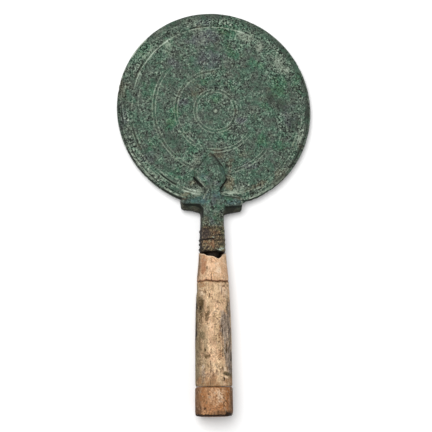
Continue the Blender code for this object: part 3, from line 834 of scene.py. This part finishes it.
def shank_section(distance, steps=72):
    """The shank's outline at a distance down the handle, swollen at a rib, most at its sides."""
    share = smooth(distance, *SHANK_SWELL)
    width = SHANK_WIDTH[0] + share * (SHANK_WIDTH[1] - SHANK_WIDTH[0])
    depth = SHANK_DEPTH[0] + share * (SHANK_DEPTH[1] - SHANK_DEPTH[0])
    power = 2 / (SHANK_SQUARENESS[0] + share * (SHANK_SQUARENESS[1] - SHANK_SQUARENESS[0]))
    swell = sum(math.exp(-((distance - rib) / wide) ** 2) for rib, wide in RIBS)
    points = []
    for step in range(steps):
        turn = math.tau * (step + 0.5) / steps
        across = math.copysign(abs(math.cos(turn)) ** power, math.cos(turn))
        outward = math.copysign(abs(math.sin(turn)) ** power, math.sin(turn))
        side = swell * RIB_HEIGHT[math.cos(turn) > 0] * (0.25 + 0.75 * abs(math.cos(turn)))
        x, z = AXIS_X + (width / 2 + side) * across, AXIS_Z + (depth / 2 + side) * outward
        points.append((x, -distance, z))
    return points


def circle(radius, steps):
    """Points round a circle, counter-clockwise."""
    turns = [math.tau * step / steps for step in range(steps)]
    return [(radius * math.cos(turn), radius * math.sin(turn)) for turn in turns]


def tang_section(radius, distance):
    """The tang's outline at a distance down the handle."""
    return [(AXIS_X + across, -distance, AXIS_Z + up) for across, up in circle(radius, 24)]


def disc_clearance():
    """The space that the disc needs inside the fitting's slot, as an object to cut with."""
    reach, crest = DISC_RADIUS + GAP, RIM_HEIGHT + GAP
    profile = [(reach, -GAP), (reach, crest), (RIM_CREST - GAP, crest), (RIM_START - GAP, DISC_WEB + GAP)]
    body = bmesh.new()
    add_loft(body, [[(x, y, height) for x, y in circle(radius, 320)] for radius, height in profile])
    return add_object("disc_clearance", mesh_of(body, "disc_clearance"))


# Patches on the fitting. The brown one on the arm's end is rusty too, and the one on the ribs is smooth.
RUSTY_END = (-23.6, -63.4, 3.2, 2.2, 0.9)
SMOOTH_RIB = (-8.8, -89.5, 5, 4.8, 1.3)
FITTING_SPOTS = {
    "teal": [
        (-13, -66.3, 7.5, 2.6, 1.2, -6), (-20, -67, 3, 1.6, 0.5), (0, -62, 6.5, 2.6, 0.9, -18),
        (11, -67, 7, 2.2, 1.1, -4), (-9, -62, 3, 3, 0.7), (4, -57, 3.5, 5, 0.5), (-10, -49, 3, 4, 0.45, -30),
        (5.5, -44, 2, 4, 0.5)],
    "emerald": [
        (9, -64.9, 4, 1.6, 0.9, -4), (0, -80, 5, 5, 0.6), (-9, -47, 4, 6, 0.4), (-4, -68, 5, 4, 0.4),
        (4.5, -90, 3, 6, 0.9), (3.5, -99, 3.5, 3, 0.8), (1, -86.5, 5, 1.5, 0.7)],
    "umber": [
        (-23.5, -63.5, 3.4, 2.4, 1), (17, -64.5, 3, 2, 0.5), (-3.6, -33, 2.5, 2.5, 0.7),
        (-8.6, -81, 4, 3.4, 0.8), SMOOTH_RIB, (4, -84, 3, 3, 0.6), (-8, -100, 5, 2, 0.6)],
    "ochre": [
        (-7.4, -96.6, 4.2, 2.4, 0.55), (-3.4, -97.2, 1.4, 3.4, 1.1), (0.5, -89, 1.6, 3.5, 0.4), RUSTY_END,
        (-2, -88.4, 1.4, 2.4, 0.5)],
    "pale": [
        (-1, -53, 2, 2, 0.4), (-16.5, -62.6, 6, 1.5, 0.6, 6), (0.6, -101.1, 1.8, 1, 1.4, -10),
        (3, -99.8, 2.2, 0.8, 1.2, -10), (-3.2, -92.7, 1, 0.8, 0.9), (-23.4, -63.2, 3, 1.6, 0.35)]}
# Painted highlights along edges that catch the light, lines cut in between the ribs, and dark lines of
# painted shade by the leaf and the crossbar
LIGHT_LINES = [(0.8, [(-13.4, -49.4), (-11.0, -52.6), (-8.6, -55.7), (-6.6, -58.2)]),
               (0.7, [(-6.6, -58.2), (-7.6, -60.9), (-9.4, -64.8)]),
               (0.5, [(-17.2, -45.2), (-14.2, -44.4), (-12.4, -46.2)]),
               (1.3, [(3.8, -61.0), (9.0, -61.7), (12.5, -61.9), (16.6, -61.9)]),
               (0.6, [(17.7, -64.0), (17.6, -68.4)])]
RIB_LINES = [(0.6, [(-11.8, -85.9), (-8.0, -86.3), (-4.6, -85.8)]),
             (1.3, [(-12.6, -93.9), (-9.0, -94.2), (-6.0, -93.6), (-3.4, -93.7)]),
             (0.5, [(-3.4, -93.7), (0.5, -94.6), (4.4, -94.0)]),
             (0.7, [(-12.6, -102.5), (-7.0, -102.7), (-1.0, -103.2)])]
DARK_LINES = RIB_LINES + [(0.5, [(-2.8, -33.2), (0.4, -36.4), (2.6, -40.0), (2.8, -43.4), (4.6, -46.0)]),
                          (0.45, [(4.8, -62.4), (11.0, -62.8), (17.0, -63.0)]),
                          (1.0, [(-20.4, -69.0), (-13.0, -69.4), (-10.4, -72.0), (-10.2, -78.0)])]


def cast_fitting():
    """The leaf, crossbar, ribbed shank and tang as one plain casting, slotted for the disc."""
    body = bmesh.new()
    leaf = [(LEAF_CORNERS, height, bevel) for height, bevel in LEAF_LEVELS]
    crossbar = [(crossbar_corners(drop, top, slope), height, bevel)
                for height, drop, top, slope, bevel in CROSSBAR_LEVELS]
    for levels in (leaf, crossbar):
        add_loft(body, [[(*point, height) for point in rounded_outline(corners, bevel)]
                        for corners, height, bevel in levels])
    distances = np.arange(SHANK_START, SHANK_END + 0.01, SHANK_ROW)
    add_loft(body, [shank_section(distance) for distance in distances])
    add_loft(body, [tang_section(TANG_RADII[0], SHANK_END - 4), tang_section(TANG_RADII[1], TANG_END)])
    mesh = through_modifier(mesh_of(body, "fitting"), "REMESH",
                            {"mode": "VOXEL", "voxel_size": BRONZE_GRAIN, "use_smooth_shade": True})
    cutter = disc_clearance()
    mesh = through_modifier(mesh, "BOOLEAN",
                            {"operation": "DIFFERENCE", "object": cutter, "solver": "MANIFOLD"})
    bpy.data.objects.remove(cutter)
    return mesh


def make_fitting(finish):
    """The casting with its worn and pitted skin, corroded brown where it is ribbed, with painted shade and
    highlights.
    """
    mesh = cast_fitting()
    points, normals = coordinates(mesh), coordinates(mesh, "normal")
    x, y, z = points.T
    distance = -y
    in_slot = (np.hypot(x, y) < DISC_RADIUS + GAP + 0.1) & (z < RIM_HEIGHT + GAP + 0.1)
    ribbed = smooth(distance + 0.9 * lumps(points, 4, 101), 82.6, 85.4)
    tang = smooth(distance, SHANK_END - 0.35, SHANK_END + 0.1)
    wear = 0.07 * (1 + rough(points, 2.4, 102)) + 0.16 * smooth(lumps(points, 1.5, 103), 0.4, 0.9)
    wear += 0.3 * ribbed * smooth(lumps(points * [1, 1.6, 1], 3.1, 104), 0.2, 0.9)
    for line in RIB_LINES:
        wear += 0.35 * strokes(x, y, [line], 0.2, 0.9) * smooth(z, 5, 7)
    wear *= (1 - in_slot) * (1 - tang)
    front_lip = smooth(z, 6, 9) * smooth(distance, SHANK_END - 3, SHANK_END)
    points = points - normals * wear[:, None]
    points[:, 1] += front_lip * (0.55 + 0.6 * lumps(points * [1, 0, 0], 4.4, 105))
    move_to(mesh, points)

    bulge = sharpness(mesh)
    worn, crevice = smooth(bulge, 0.012, 0.05) * (1 - in_slot), smooth(-bulge, 0.01, 0.05)
    arms = smooth(distance, 64, 67) * smooth(np.abs(x - AXIS_X), 7.2, 9.0)
    arms *= 1 - (x > 0) * (1 - smooth(x, 5.0, 7.4))
    underside = arms * smooth(6.1 - z, 0.0, 0.9) * (y < -67)
    ledge = underside * smooth(z, 2.3, 2.9) * (1 - smooth(z, 3.9, 4.5))
    ledge *= 0.6 + 0.5 * smooth(rough(points, 3, 115), -0.5, 0.4)
    front, below = smooth(z, 3.2, 4.4), smooth(-normals[:, 2], 0.45, 0.9) * (z < 0) * (1 - tang)
    stalk = smooth(distance, 68, 76) * (1 - ribbed)
    beside = smooth(distance, 74, 77)
    left_side, right_side = beside * smooth(AXIS_X - x, 7.9, 8.8), beside * smooth(x - AXIS_X, 7.6, 8.8)
    wavy = [part + 0.3 * lumps(points, 2.2, seed) for part, seed in ((x, 116), (y, 117))]
    # painted highlights along lit edges; dark lines: cuts between the ribs, and painted shade
    rib_cuts_and_shade_lines, light = strokes(*wavy, DARK_LINES, 0.3, 1.0) * front, strokes(*wavy, LIGHT_LINES, 0.3, 0.9)
    warped = [points[:, axis] + 0.9 * rough(points, 4, 111 + axis) for axis in (0, 1)]
    cover = {kind: spots(*warped, places) for kind, places in FITTING_SPOTS.items()}

    pale = np.maximum((cover["pale"] + 0.3 * worn * (1 - ribbed)) * front, light) * (1 - left_side)
    pale += 0.3 * below * (1 - ribbed) * smooth(rough(points, 4, 118), 0, 0.9)
    # painted shade: dark under the crossbar's arms, less on the ledge, and black inside the disc's slot;
    # darker towards the bottom as well
    dark = 1.05 * underside * (1 - (0.66 - 0.14 * (x > 0)) * ledge) + 0.5 * crevice * (1 - underside)
    dark += 0.18 * stalk + 0.9 * left_side + 0.35 * right_side + in_slot + 0.5 * smooth(-z, -1.0, 2.0)
    keep_marks(
        mesh, points, pale=pale, earth=0 * x, ochre=cover["ochre"] * front, teal=cover["teal"] * front,
        emerald=0.25 * rough(points, 6, 113) * (1 - ribbed) + cover["emerald"] * front,
        umber=cover["umber"] + 0.9 * ledge + 0.5 * (1 - front) + 0.35 * stalk,
        violet=0.5 * smooth(rough(points, 5, 114), 0, 0.8) * (1 - ribbed),
        # the tang is black: dark metal, and painted shade in the gap below the collar
        dark=np.maximum(dark * (1 - 0.85 * below) + 1.5 * tang, rib_cuts_and_shade_lines),
        bristle=0.1 + 0.2 * stalk + 0.36 * ribbed * (1 - 0.5 * spots(*warped, [SMOOTH_RIB])),
        rust=np.maximum(ribbed, spots(*warped, [RUSTY_END])))
    move_to(mesh, lay_down(points))
    finish_piece("mirror_fitting", mesh, finish, "fitting")


# --- The bone handle -------------------------------------------------------------------------

def turning_tree():
    """A node tree that turns a line of (radius, distance) points round the handle's axis.

    The grain is raised along the piece, and the seam and poles are closed.
    """
    tree = bpy.data.node_groups.new("turned_bone", "GeometryNodeTree")

    def port(name, kind, value=None, way="INPUT"):
        made = tree.interface.new_socket(name, in_out=way, socket_type="NodeSocket" + kind)
        if value is not None:
            made.default_value = value

    port("Outline", "Geometry")
    port("Steps around", "Int", BONE_STEPS)
    port("Axis", "Vector", (AXIS_X, 0.0, AXIS_Z))
    port("Grain depth", "Float", GRAIN_DEPTH)
    port("Grain width", "Float", GRAIN_WIDTH)
    port("Grain length", "Float", GRAIN_LENGTH)
    port("Seed", "Int", 1)
    port("Finish", "Material")
    port("Bone", "Geometry", way="OUTPUT")

    def node(kind, settings=None, sockets=None):
        return add_node(tree, kind, settings, sockets).outputs[0]

    def maths(operation, *values):
        return node("ShaderNodeMath", {"operation": operation}, dict(enumerate(values)))

    def vector(operation, first, second):
        return node("ShaderNodeVectorMath", {"operation": operation}, {0: first, 1: second})

    def combined(x, y, z):
        return node("ShaderNodeCombineXYZ", {}, {0: x, 1: y, 2: z})

    given = add_node(tree, "NodeGroupInput").outputs
    count = node("GeometryNodeAttributeDomainSize", {"component": "MESH"}, {0: given["Outline"]})
    around = maths("ADD", given["Steps around"], 1)
    grid = node("GeometryNodeMeshGrid", {}, {"Vertices X": count, "Vertices Y": around})
    index = node("GeometryNodeInputIndex")
    row = maths("FLOOR", maths("DIVIDE", maths("ADD", index, 0.5), around))
    column = maths("SUBTRACT", index, maths("MULTIPLY", row, around))
    sample = node("GeometryNodeSampleIndex", {"data_type": "FLOAT_VECTOR", "domain": "POINT"},
                  {"Geometry": given["Outline"], "Value": node("GeometryNodeInputPosition"), "Index": row})
    radius, distance, grained = add_node(tree, "ShaderNodeSeparateXYZ", {}, {0: sample}).outputs
    turn = maths("MULTIPLY", maths("DIVIDE", column, given["Steps around"]), math.tau)

    def turned(reach):
        across, up = (maths("MULTIPLY", reach, maths(part, turn)) for part in ("SINE", "COSINE"))
        return vector("ADD", combined(across, maths("MULTIPLY", distance, -1.0), up), given["Axis"])

    width, length = given["Grain width"], given["Grain length"]
    grain = node("ShaderNodeTexNoise", {"noise_dimensions": "4D"},
                 {"Vector": vector("DIVIDE", turned(radius), combined(width, length, width)),
                  "W": given["Seed"], "Scale": 1.0, "Detail": 3.0})
    depth = maths("MULTIPLY", maths("MULTIPLY", grain, given["Grain depth"]), grained)
    place = turned(maths("SUBTRACT", radius, depth))
    moved = node("GeometryNodeSetPosition", {}, {"Geometry": grid, "Position": place})
    closed = node("GeometryNodeMergeByDistance", {}, {"Geometry": moved, "Distance": 0.002})
    real = node("GeometryNodeRealizeInstances", {}, {0: closed})
    dressed = node("GeometryNodeSetMaterial", {}, {"Geometry": real, "Material": given["Finish"]})
    add_node(tree, "NodeGroupOutput", {}, {0: dressed})
    return tree


def stepped(path, gap):
    """Points along a path no further apart than the gap, without the last one."""
    points = []
    for start, end in zip(path, path[1:]):
        count = max(2, math.ceil(np.hypot(*(end - start)[:2]) / gap))
        points += [start + (end - start) * step / count for step in range(count)]
    return points


def bone_outline(name):
    """Closely spaced (radius, distance, grain) points round a bone section's wall, closed."""
    outer, bore = BONES[name]
    wall = [np.array([radius, distance, 1.0]) for distance, radius in outer]
    if name == "bone_end":
        inner = [(0.0, BORE_END, 0.0), (bore, BORE_END - bore / 2, 0.0)]
    else:
        inner = [wall[-1], (bore, outer[-1][0], 0.0)]
    inner = [np.array(point) for point in (*inner, (bore, outer[0][0], 0.0), wall[0])]
    return np.array(stepped(wall, BONE_ROW) + wall[-1:] + stepped(inner, BORE_ROW)[1:] + wall[:1])


def turn_bone(name, tree, finish, seed):
    """Run the tree on one section's outline, and give back its plain mesh."""
    outline = bone_outline(name)
    mesh = bpy.data.meshes.new(name)
    mesh.from_pydata(outline.tolist(), [(i, i + 1) for i in range(len(outline) - 1)], [])
    worker = add_object(name, mesh)
    modifier = worker.modifiers.new("turn", "NODES")
    modifier.node_group = tree
    sockets = {item.name: item.identifier for item in tree.interface.items_tree if item.in_out == "INPUT"}
    modifier[sockets["Seed"]] = seed
    modifier[sockets["Finish"]] = finish
    body = bmesh.new()
    body.from_mesh(evaluated(worker))
    return mesh_of(body, name)


# Stains as (turn round the handle from the front in degrees, distance, half sizes, strength)
BONE_STAINS = {
    "brown": [
        (-52, 111, 13, 8, 0.9), (-46, 115, 8, 5, 0.5), (-37, 109, 4, 5, 0.7), (-54, 125.6, 22, 2, 0.9),
        (11, 157, 5, 9, 0.9), (10, 174, 8, 5, 0.6), (50, 192.5, 20, 2.6, 0.5), (-20, 194.5, 26, 2.2, 0.8),
        (36, 204, 9, 11, 1), (-44, 204, 16, 8, 0.6), (-20, 211, 24, 4, 0.6), (12, 206, 5, 6, 0.4),
        (-50, 116.5, 14, 2, 0.4), (-15, 142, 8, 4, 0.3), (32, 145, 7, 2.4, 0.7), (-14, 191, 10, 4, 0.4),
        (-66, 193, 16, 3, 0.5), (-26, 116, 9, 3, 0.4), (-48, 192, 24, 3.5, 0.5), (-14, 186, 5, 6, 0.3),
        (14, 211, 20, 3, 0.5), (-26, 128, 14, 3, 0.3), (-26, 187, 26, 6, 0.3), (8, 192, 40, 4, 0.35),
        (60, 190, 16, 6, 0.5)],
    "grey": [
        (56, 142, 18, 6.5, 1), (40, 156.5, 31, 10, 1), (52, 176, 28, 10.5, 1), (22, 146, 7, 4, 0.6),
        (-45, 187, 8, 9, 0.45), (-14, 187, 7, 7, 0.35), (-64, 130, 12, 3, 0.35), (14, 203, 14, 6, 0.15),
        (62, 186, 16, 3, 0.8), (-86, 118, 9, 6, 0.5), (30, 168, 7, 9, 0.7), (32, 149, 16, 3, 0.7)],
    "olive": [
        (-60, 137.4, 17, 3.3, 1), (-54, 141.5, 9, 3.2, 0.9), (-56, 148, 7, 5, 0.7),
        (-30, 148.5, 10, 3.6, 0.8), (-26, 143, 7, 4, 0.45), (-58, 162, 5, 14, 0.5), (-38, 146, 4, 2, 0.6),
        (-37, 130.5, 5, 1.6, 0.8), (-22, 133.5, 5, 1.8, 0.8), (-37, 171.4, 5, 1.8, 0.9),
        (-30, 176, 8, 1.6, 0.8), (-29, 181.5, 5, 1.8, 0.6), (-46, 152, 4, 8, 0.4), (-34, 114.4, 6, 2, 0.6),
        (42, 141, 3.5, 6, 0.9), (36, 152, 2.5, 5, 0.5), (62, 148, 4, 6, 0.5), (56, 168, 4, 7, 0.5),
        (-40, 205, 9, 3, 0.4), (33, 214, 9, 1.5, 0.5), (-82, 152, 9, 11, 0.6), (-20, 165, 4, 4, 0.3),
        (34, 170, 5, 4, 0.5)],
    "chalk": [
        (26, 184.2, 9, 1.5, 0.9), (41, 160.5, 5, 3.5, 0.5), (-52, 131.5, 13, 2.6, 0.5),
        (-60, 154, 4, 6, 0.2), (8, 119, 18, 3, 0.35), (26, 131, 22, 6, 0.25), (50, 131, 22, 5, 0.3),
        (62, 153, 8, 3, 0.5), (14, 113, 18, 6, 0.5), (-27, 110, 8, 4, 0.3), (30, 189.8, 12, 0.9, 0.7),
        (24, 203, 5, 3, 0.2), (-36, 139, 6, 4, 0.35), (-22, 155, 12, 6, 0.25), (22, 127, 12, 5, 0.2),
        (6, 204, 9, 5, 0.5), (8, 199, 18, 2.2, 0.35)],
    "soil": [
        (-84, 153, 14, 12, 0.7), (57, 162, 9, 10, 0.5), (58, 180, 13, 10, 0.7), (60, 158, 10, 6, 0.4),
        (-80, 176, 9, 5, 0.6), (36, 186.8, 18, 1.8, 0.9), (-54, 140, 14, 8, 0.3), (47, 141, 4, 7, 0.6),
        (-84, 115, 20, 7, 0.4), (20, 214.5, 42, 2, 0.7), (-70, 212, 18, 4, 0.7), (28, 168, 8, 12, 0.5),
        (-84, 129, 10, 5, 0.6), (-26, 194.6, 30, 1.8, 0.35), (-48, 161, 12, 4, 0.4), (56, 189, 14, 2.5, 0.5),
        (-84, 109, 12, 4, 0.5), (-34, 172, 9, 14, 0.25), (70, 183, 12, 12, 0.7), (56, 195, 16, 1.6, 0.5)],
    # soot; the spots along the end's lower rim are painted shade
    "soot": [
        (24, 191.4, 2.4, 1.5, 1), (-42, 210.9, 5, 1.4, 0.55), (36, 187, 17, 1, 0.42),
        (46, 215.9, 26, 1.9, 1.2), (-10, 216.7, 70, 1.2, 1.2), (-58, 141.5, 7, 2.4, 0.6),
        (-35, 171.2, 4, 1.2, 0.6), (58, 178.6, 6, 1.4, 0.7), (-84, 158, 9, 5, 0.6),
        (-72, 215.4, 14, 1.4, 0.6), (-80, 140, 7, 3, 0.4), (-87, 152, 9, 24, 0.45), (76, 175.5, 6, 5, 0.55),
        (74, 185, 5, 3, 0.5)]}
# how much darker each section is: at the left side and where it fades, then the same on the right
SIDE_DARKENING = {"bone_collar": (0.62, -92, -12, 0.3, 45, 85), "bone_grip": (0.95, -82, -8, 0.25, 30, 60),
        "bone_end": (0.9, -78, -26, 0.95, 26, 62)}
CRACKS = [                          # turn, from, to, depth
    (-15, 117.2, 122.9, 0.2), (-34, 120.5, 122.9, 0.1), (22, 128, 133, 0.15), (-6, 146, 168, 0.12),
    (20, 150, 176, 0.2), (-20, 178, 195, 0.15), (10, 181, 193, 0.12), (24, 189.8, 193, 0.5)]
DENTS = [                           # turn, distance, half sizes, depth
    (-95, 196.3, 14, 1.2, 0.9), (74, 196.3, 12, 1.1, 1.0), (20, 196.3, 10, 0.7, 0.35),
    (-42, 210.9, 6, 1.3, 0.5), (68, 216, 22, 2.2, 0.8), (-50, 140, 8, 3, 0.4), (-30, 150, 6, 2, 0.35),
    (-33, 170, 7, 2, 0.35), (-22, 176, 6, 2, 0.35), (-84, 112, 14, 3, 0.35), (-80, 158, 12, 8, 0.3),
    (-100, 129, 20, 4, 0.3), (84, 128, 10, 2, 0.35)]


def joint_wave(turn):
    """How the joint below the collar wanders down and up round the handle."""
    angle = np.radians(turn)
    return 0.28 * np.sin(3 * angle + 0.6) + 0.2 * np.sin(7 * angle + 2.0) + 0.12 * np.sin(13 * angle)


def dented(points, lie, turn, distance, seed):
    """How far a section's skin has gone in: uneven, grained, pitted and dented."""
    inward = 0.06 * (1 + lumps(points, 22, seed)) + 0.08 * (1 + rough(points * [1, 0.4, 1], 3.5, seed + 1))
    inward += 0.13 * smooth(lumps(points, 1.6, seed + 2), 0.5, 0.95)
    ragged = 1 + 0.3 * lumps(lie, 2.0, seed + 3)
    for middle, at, half_turn, half_length, depth in DENTS:
        away = np.hypot((turn - middle) / half_turn, (distance - at) / half_length) * ragged
        inward += depth * (1 - smooth(away, 0.3, 1.1))
    return inward


def cracked(lie, turn, distance, radius, seed):
    """How far the cracks go in, and how dark they look."""
    inward, split = np.zeros((2, len(turn)))
    wander = 0.35 * lumps(lie * [0, 1, 0], 3.5, seed + 4) + 0.15 * lumps(lie * [0, 1, 0], 1.1, seed + 5)
    for middle, start, end, depth in CRACKS:
        aside = np.abs((turn - middle) * np.radians(1) * radius - wander)
        reach = smooth(distance, start - 0.8, start + 0.8) * (1 - smooth(distance, end - 0.4, end + 0.4))
        cut = reach * (1 - smooth(aside, 0.12, 0.5))
        inward += depth * cut
        split = np.maximum(split, cut * min(1, depth * 3.5))
    return inward, split


def broken_off(points, lie, across, up, distance):
    """The collar's rows pulled down to its broken edge, and how near each point is to the break."""
    edge = np.interp(across + 0.3 * lumps(lie * [1, 0, 0], 1.7, 9), *zip(*BROKEN_EDGE))
    edge += 0.25 * lumps(points * [1, 0, 1], 1.3, 10)
    top = WHOLE_EDGE + (edge - WHOLE_EDGE) * np.clip(up / 5, 0, 1) + 0.15
    pulled = top + (distance - COLLAR_TOP) * (BROKEN_REACH - top) / (BROKEN_REACH - COLLAR_TOP)
    distance = np.where(distance < BROKEN_REACH, pulled, distance)
    return distance, (1 - smooth(distance - top, 0.2, 1.0)) * smooth(up, 0, 4)


def wear_bone(name, mesh, seed):
    """Age a turned section: wavy joints, broken top, cracks, dents, pits and stains."""
    points = coordinates(mesh)
    x, y, z = points.T
    across, up, distance = x - AXIS_X, z - AXIS_Z, -y
    radius = np.hypot(across, up)
    turn = np.degrees(np.arctan2(across, up))
    bore = BONES[name][1]
    skin = smooth(radius, bore + 0.6, bore + 2.4)
    lie = np.stack([radius * np.radians(turn), distance, 0 * x], 1)
    cracks, split = cracked(lie, turn, distance, radius, seed)
    inward = dented(points, lie, turn, distance, seed) + cracks
    scale = 1 - inward * skin / np.maximum(radius, 1)
    across, up = across * scale, up * scale
    shift = joint_wave(turn) * (1 - smooth(np.abs(distance - COLLAR_JOINT), 0.5, 5.0))
    distance = distance + shift
    broken = 0 * x
    if name == "bone_collar":
        distance, broken = broken_off(points, lie, across, up, distance)
    points = np.stack([across + AXIS_X, -distance, up + AXIS_Z], 1)

    warped = turn + 5 * rough(points, 4, seed + 6), distance + 0.9 * rough(points, 4, seed + 7)
    stains = {kind: spots(*warped, places, 0.6) for kind, places in BONE_STAINS.items()}
    joint = 1 - smooth(np.abs(distance - COLLAR_JOINT - shift), 0.5, 1.2)
    joint = np.maximum(joint, 1 - smooth(np.abs(distance - END_JOINT), 0.35, 1.0))
    under, behind = smooth(-up, 2.0, 9.0), smooth(np.abs(turn), 105, 150)
    end_face = smooth(distance, END_FACE, END_FACE + 0.7) * (1 - smooth(radius, 11.0, 12.4))
    wall = 1 - end_face
    left, left_from, left_to, right, right_from, right_to = SIDE_DARKENING[name]
    cleaner = (1 - smooth(distance, 133.5, 135.5)) * (name == "bone_grip")
    soil = left * (1 - smooth(turn, left_from, left_to)) * (1 - 0.35 * cleaner)
    soil += right * smooth(turn, right_from, right_to) * (1 - cleaner)
    side_worn = smooth(-turn, 82, 90) * smooth(rough(points, 2.5, seed + 8), -0.5, 0.3)
    # painted shade: the end's lower rim goes black for the shadow beneath it, and the bore's inside goes
    # black too
    end_rim_shade = 0.98 * smooth(distance, END_FACE - 1.3, END_FACE) * (1 - 0.6 * smooth(np.abs(turn), 95, 130))
    soot = (stains["soot"] * (1 - 0.7 * side_worn) + end_rim_shade + 1 - skin) * wall
    soot += 0.25 * end_face * smooth(rough(points, 3, seed + 9), 0, 0.8) + 0.35 * joint + split
    grimy = 0.3 + 0.3 * rough(points, 5, seed + 10)
    keep_marks(
        mesh, points, grey=stains["grey"], soot=soot, olive=(stains["olive"] + 0.4 * under) * wall,
        brown=(stains["brown"] + 0.35 * under) * wall + 1.3 * joint + grimy * end_face,
        soil=(stains["soil"] + soil * (1 - behind) + 0.45 * behind) * wall + 0.5 * end_face,
        chalk=np.maximum(stains["chalk"], 0.85 * broken) * (1 - joint))
    laid = lay_down(points)
    laid[:, 2] = np.maximum(laid[:, 2], 0.0)
    move_to(mesh, laid)


def make_bones():
    """The three turned bone sections, each in its own finish."""
    tree = turning_tree()
    finishes = {
        "bone_collar": bone("pale_bone", paint(198, 160, 126), paint(218, 184, 150), paint(178, 142, 104),
                            paint(222, 178, 142), paint(104, 84, 62), paint(144, 98, 68), 0.7),
        "bone_grip": bone("worn_bone", paint(190, 159, 125), paint(212, 182, 146), paint(162, 134, 100),
                          paint(212, 170, 138), paint(94, 84, 60), paint(138, 100, 66), 1.15),
        "bone_end": bone("brown_bone", paint(164, 122, 86), paint(184, 143, 108), paint(140, 98, 62),
                         paint(182, 136, 98), paint(88, 60, 38), paint(138, 88, 48), 1.15)}
    for seed, (name, finish) in enumerate(finishes.items(), start=1):
        mesh = turn_bone(name, tree, finish, seed)
        wear_bone(name, mesh, 200 * seed)
        finish_piece(f"mirror_{name}", mesh, finish, name)


# --- The studio ------------------------------------------------------------------------------

def make_floor():
    """A plain white floor."""
    mesh = bpy.data.meshes.new("studio_floor")
    r = FLOOR_REACH
    mesh.from_pydata([(-r, -r, 0), (r, -r, 0), (r, r, 0), (-r, r, 0)], [], [(0, 1, 2, 3)])
    paper = Finish("white_paper")
    weave = paper.node("ShaderNodeTexNoise", {}, {"Scale": 400.0, "Detail": 2.0})
    white = paper.mix(weave * 0.5, paint(250, 250, 250), paint(248, 248, 248))
    mesh.materials.append(paper.build({"Base Color": white, "Roughness": 0.9, "Specular IOR Level": 0.0}))
    add_object("studio_floor", mesh)


def make_lights():
    """An even white sky, and a soft lamp above, a little to the upper left."""
    world = bpy.data.worlds.new("studio")
    bpy.context.scene.world = world
    world.use_nodes = True
    sky = world.node_tree.nodes["Background"].inputs
    sky["Color"].default_value = (1.0, 1.0, 1.0, 1.0)
    sky["Strength"].default_value = SKY_STRENGTH
    lamp = bpy.data.lights.new("softbox", "AREA")
    lamp.shape, lamp.size, lamp.energy = "DISK", LAMP_SIZE, LAMP_POWER
    softbox = add_object("softbox", lamp)
    softbox.location = LAMP_PLACE
    softbox.rotation_euler = (-softbox.location).to_track_quat("-Z", "Y").to_euler()


def make_camera():
    """The camera, high above the mirror and a little to one side."""
    lens = bpy.data.cameras.new("camera")
    lens.sensor_width, lens.lens, lens.clip_start = SENSOR, LENS, 0.01
    camera = add_object("camera", lens)
    camera.location = CAMERA_PLACE
    camera.rotation_euler = [math.radians(turn) for turn in CAMERA_TURN]
    bpy.context.scene.camera = camera
    bpy.context.scene.view_settings.view_transform = "Standard"


green = patina()
make_disc(green)
make_fitting(green)
make_bones()
make_floor()
make_lights()
make_camera()
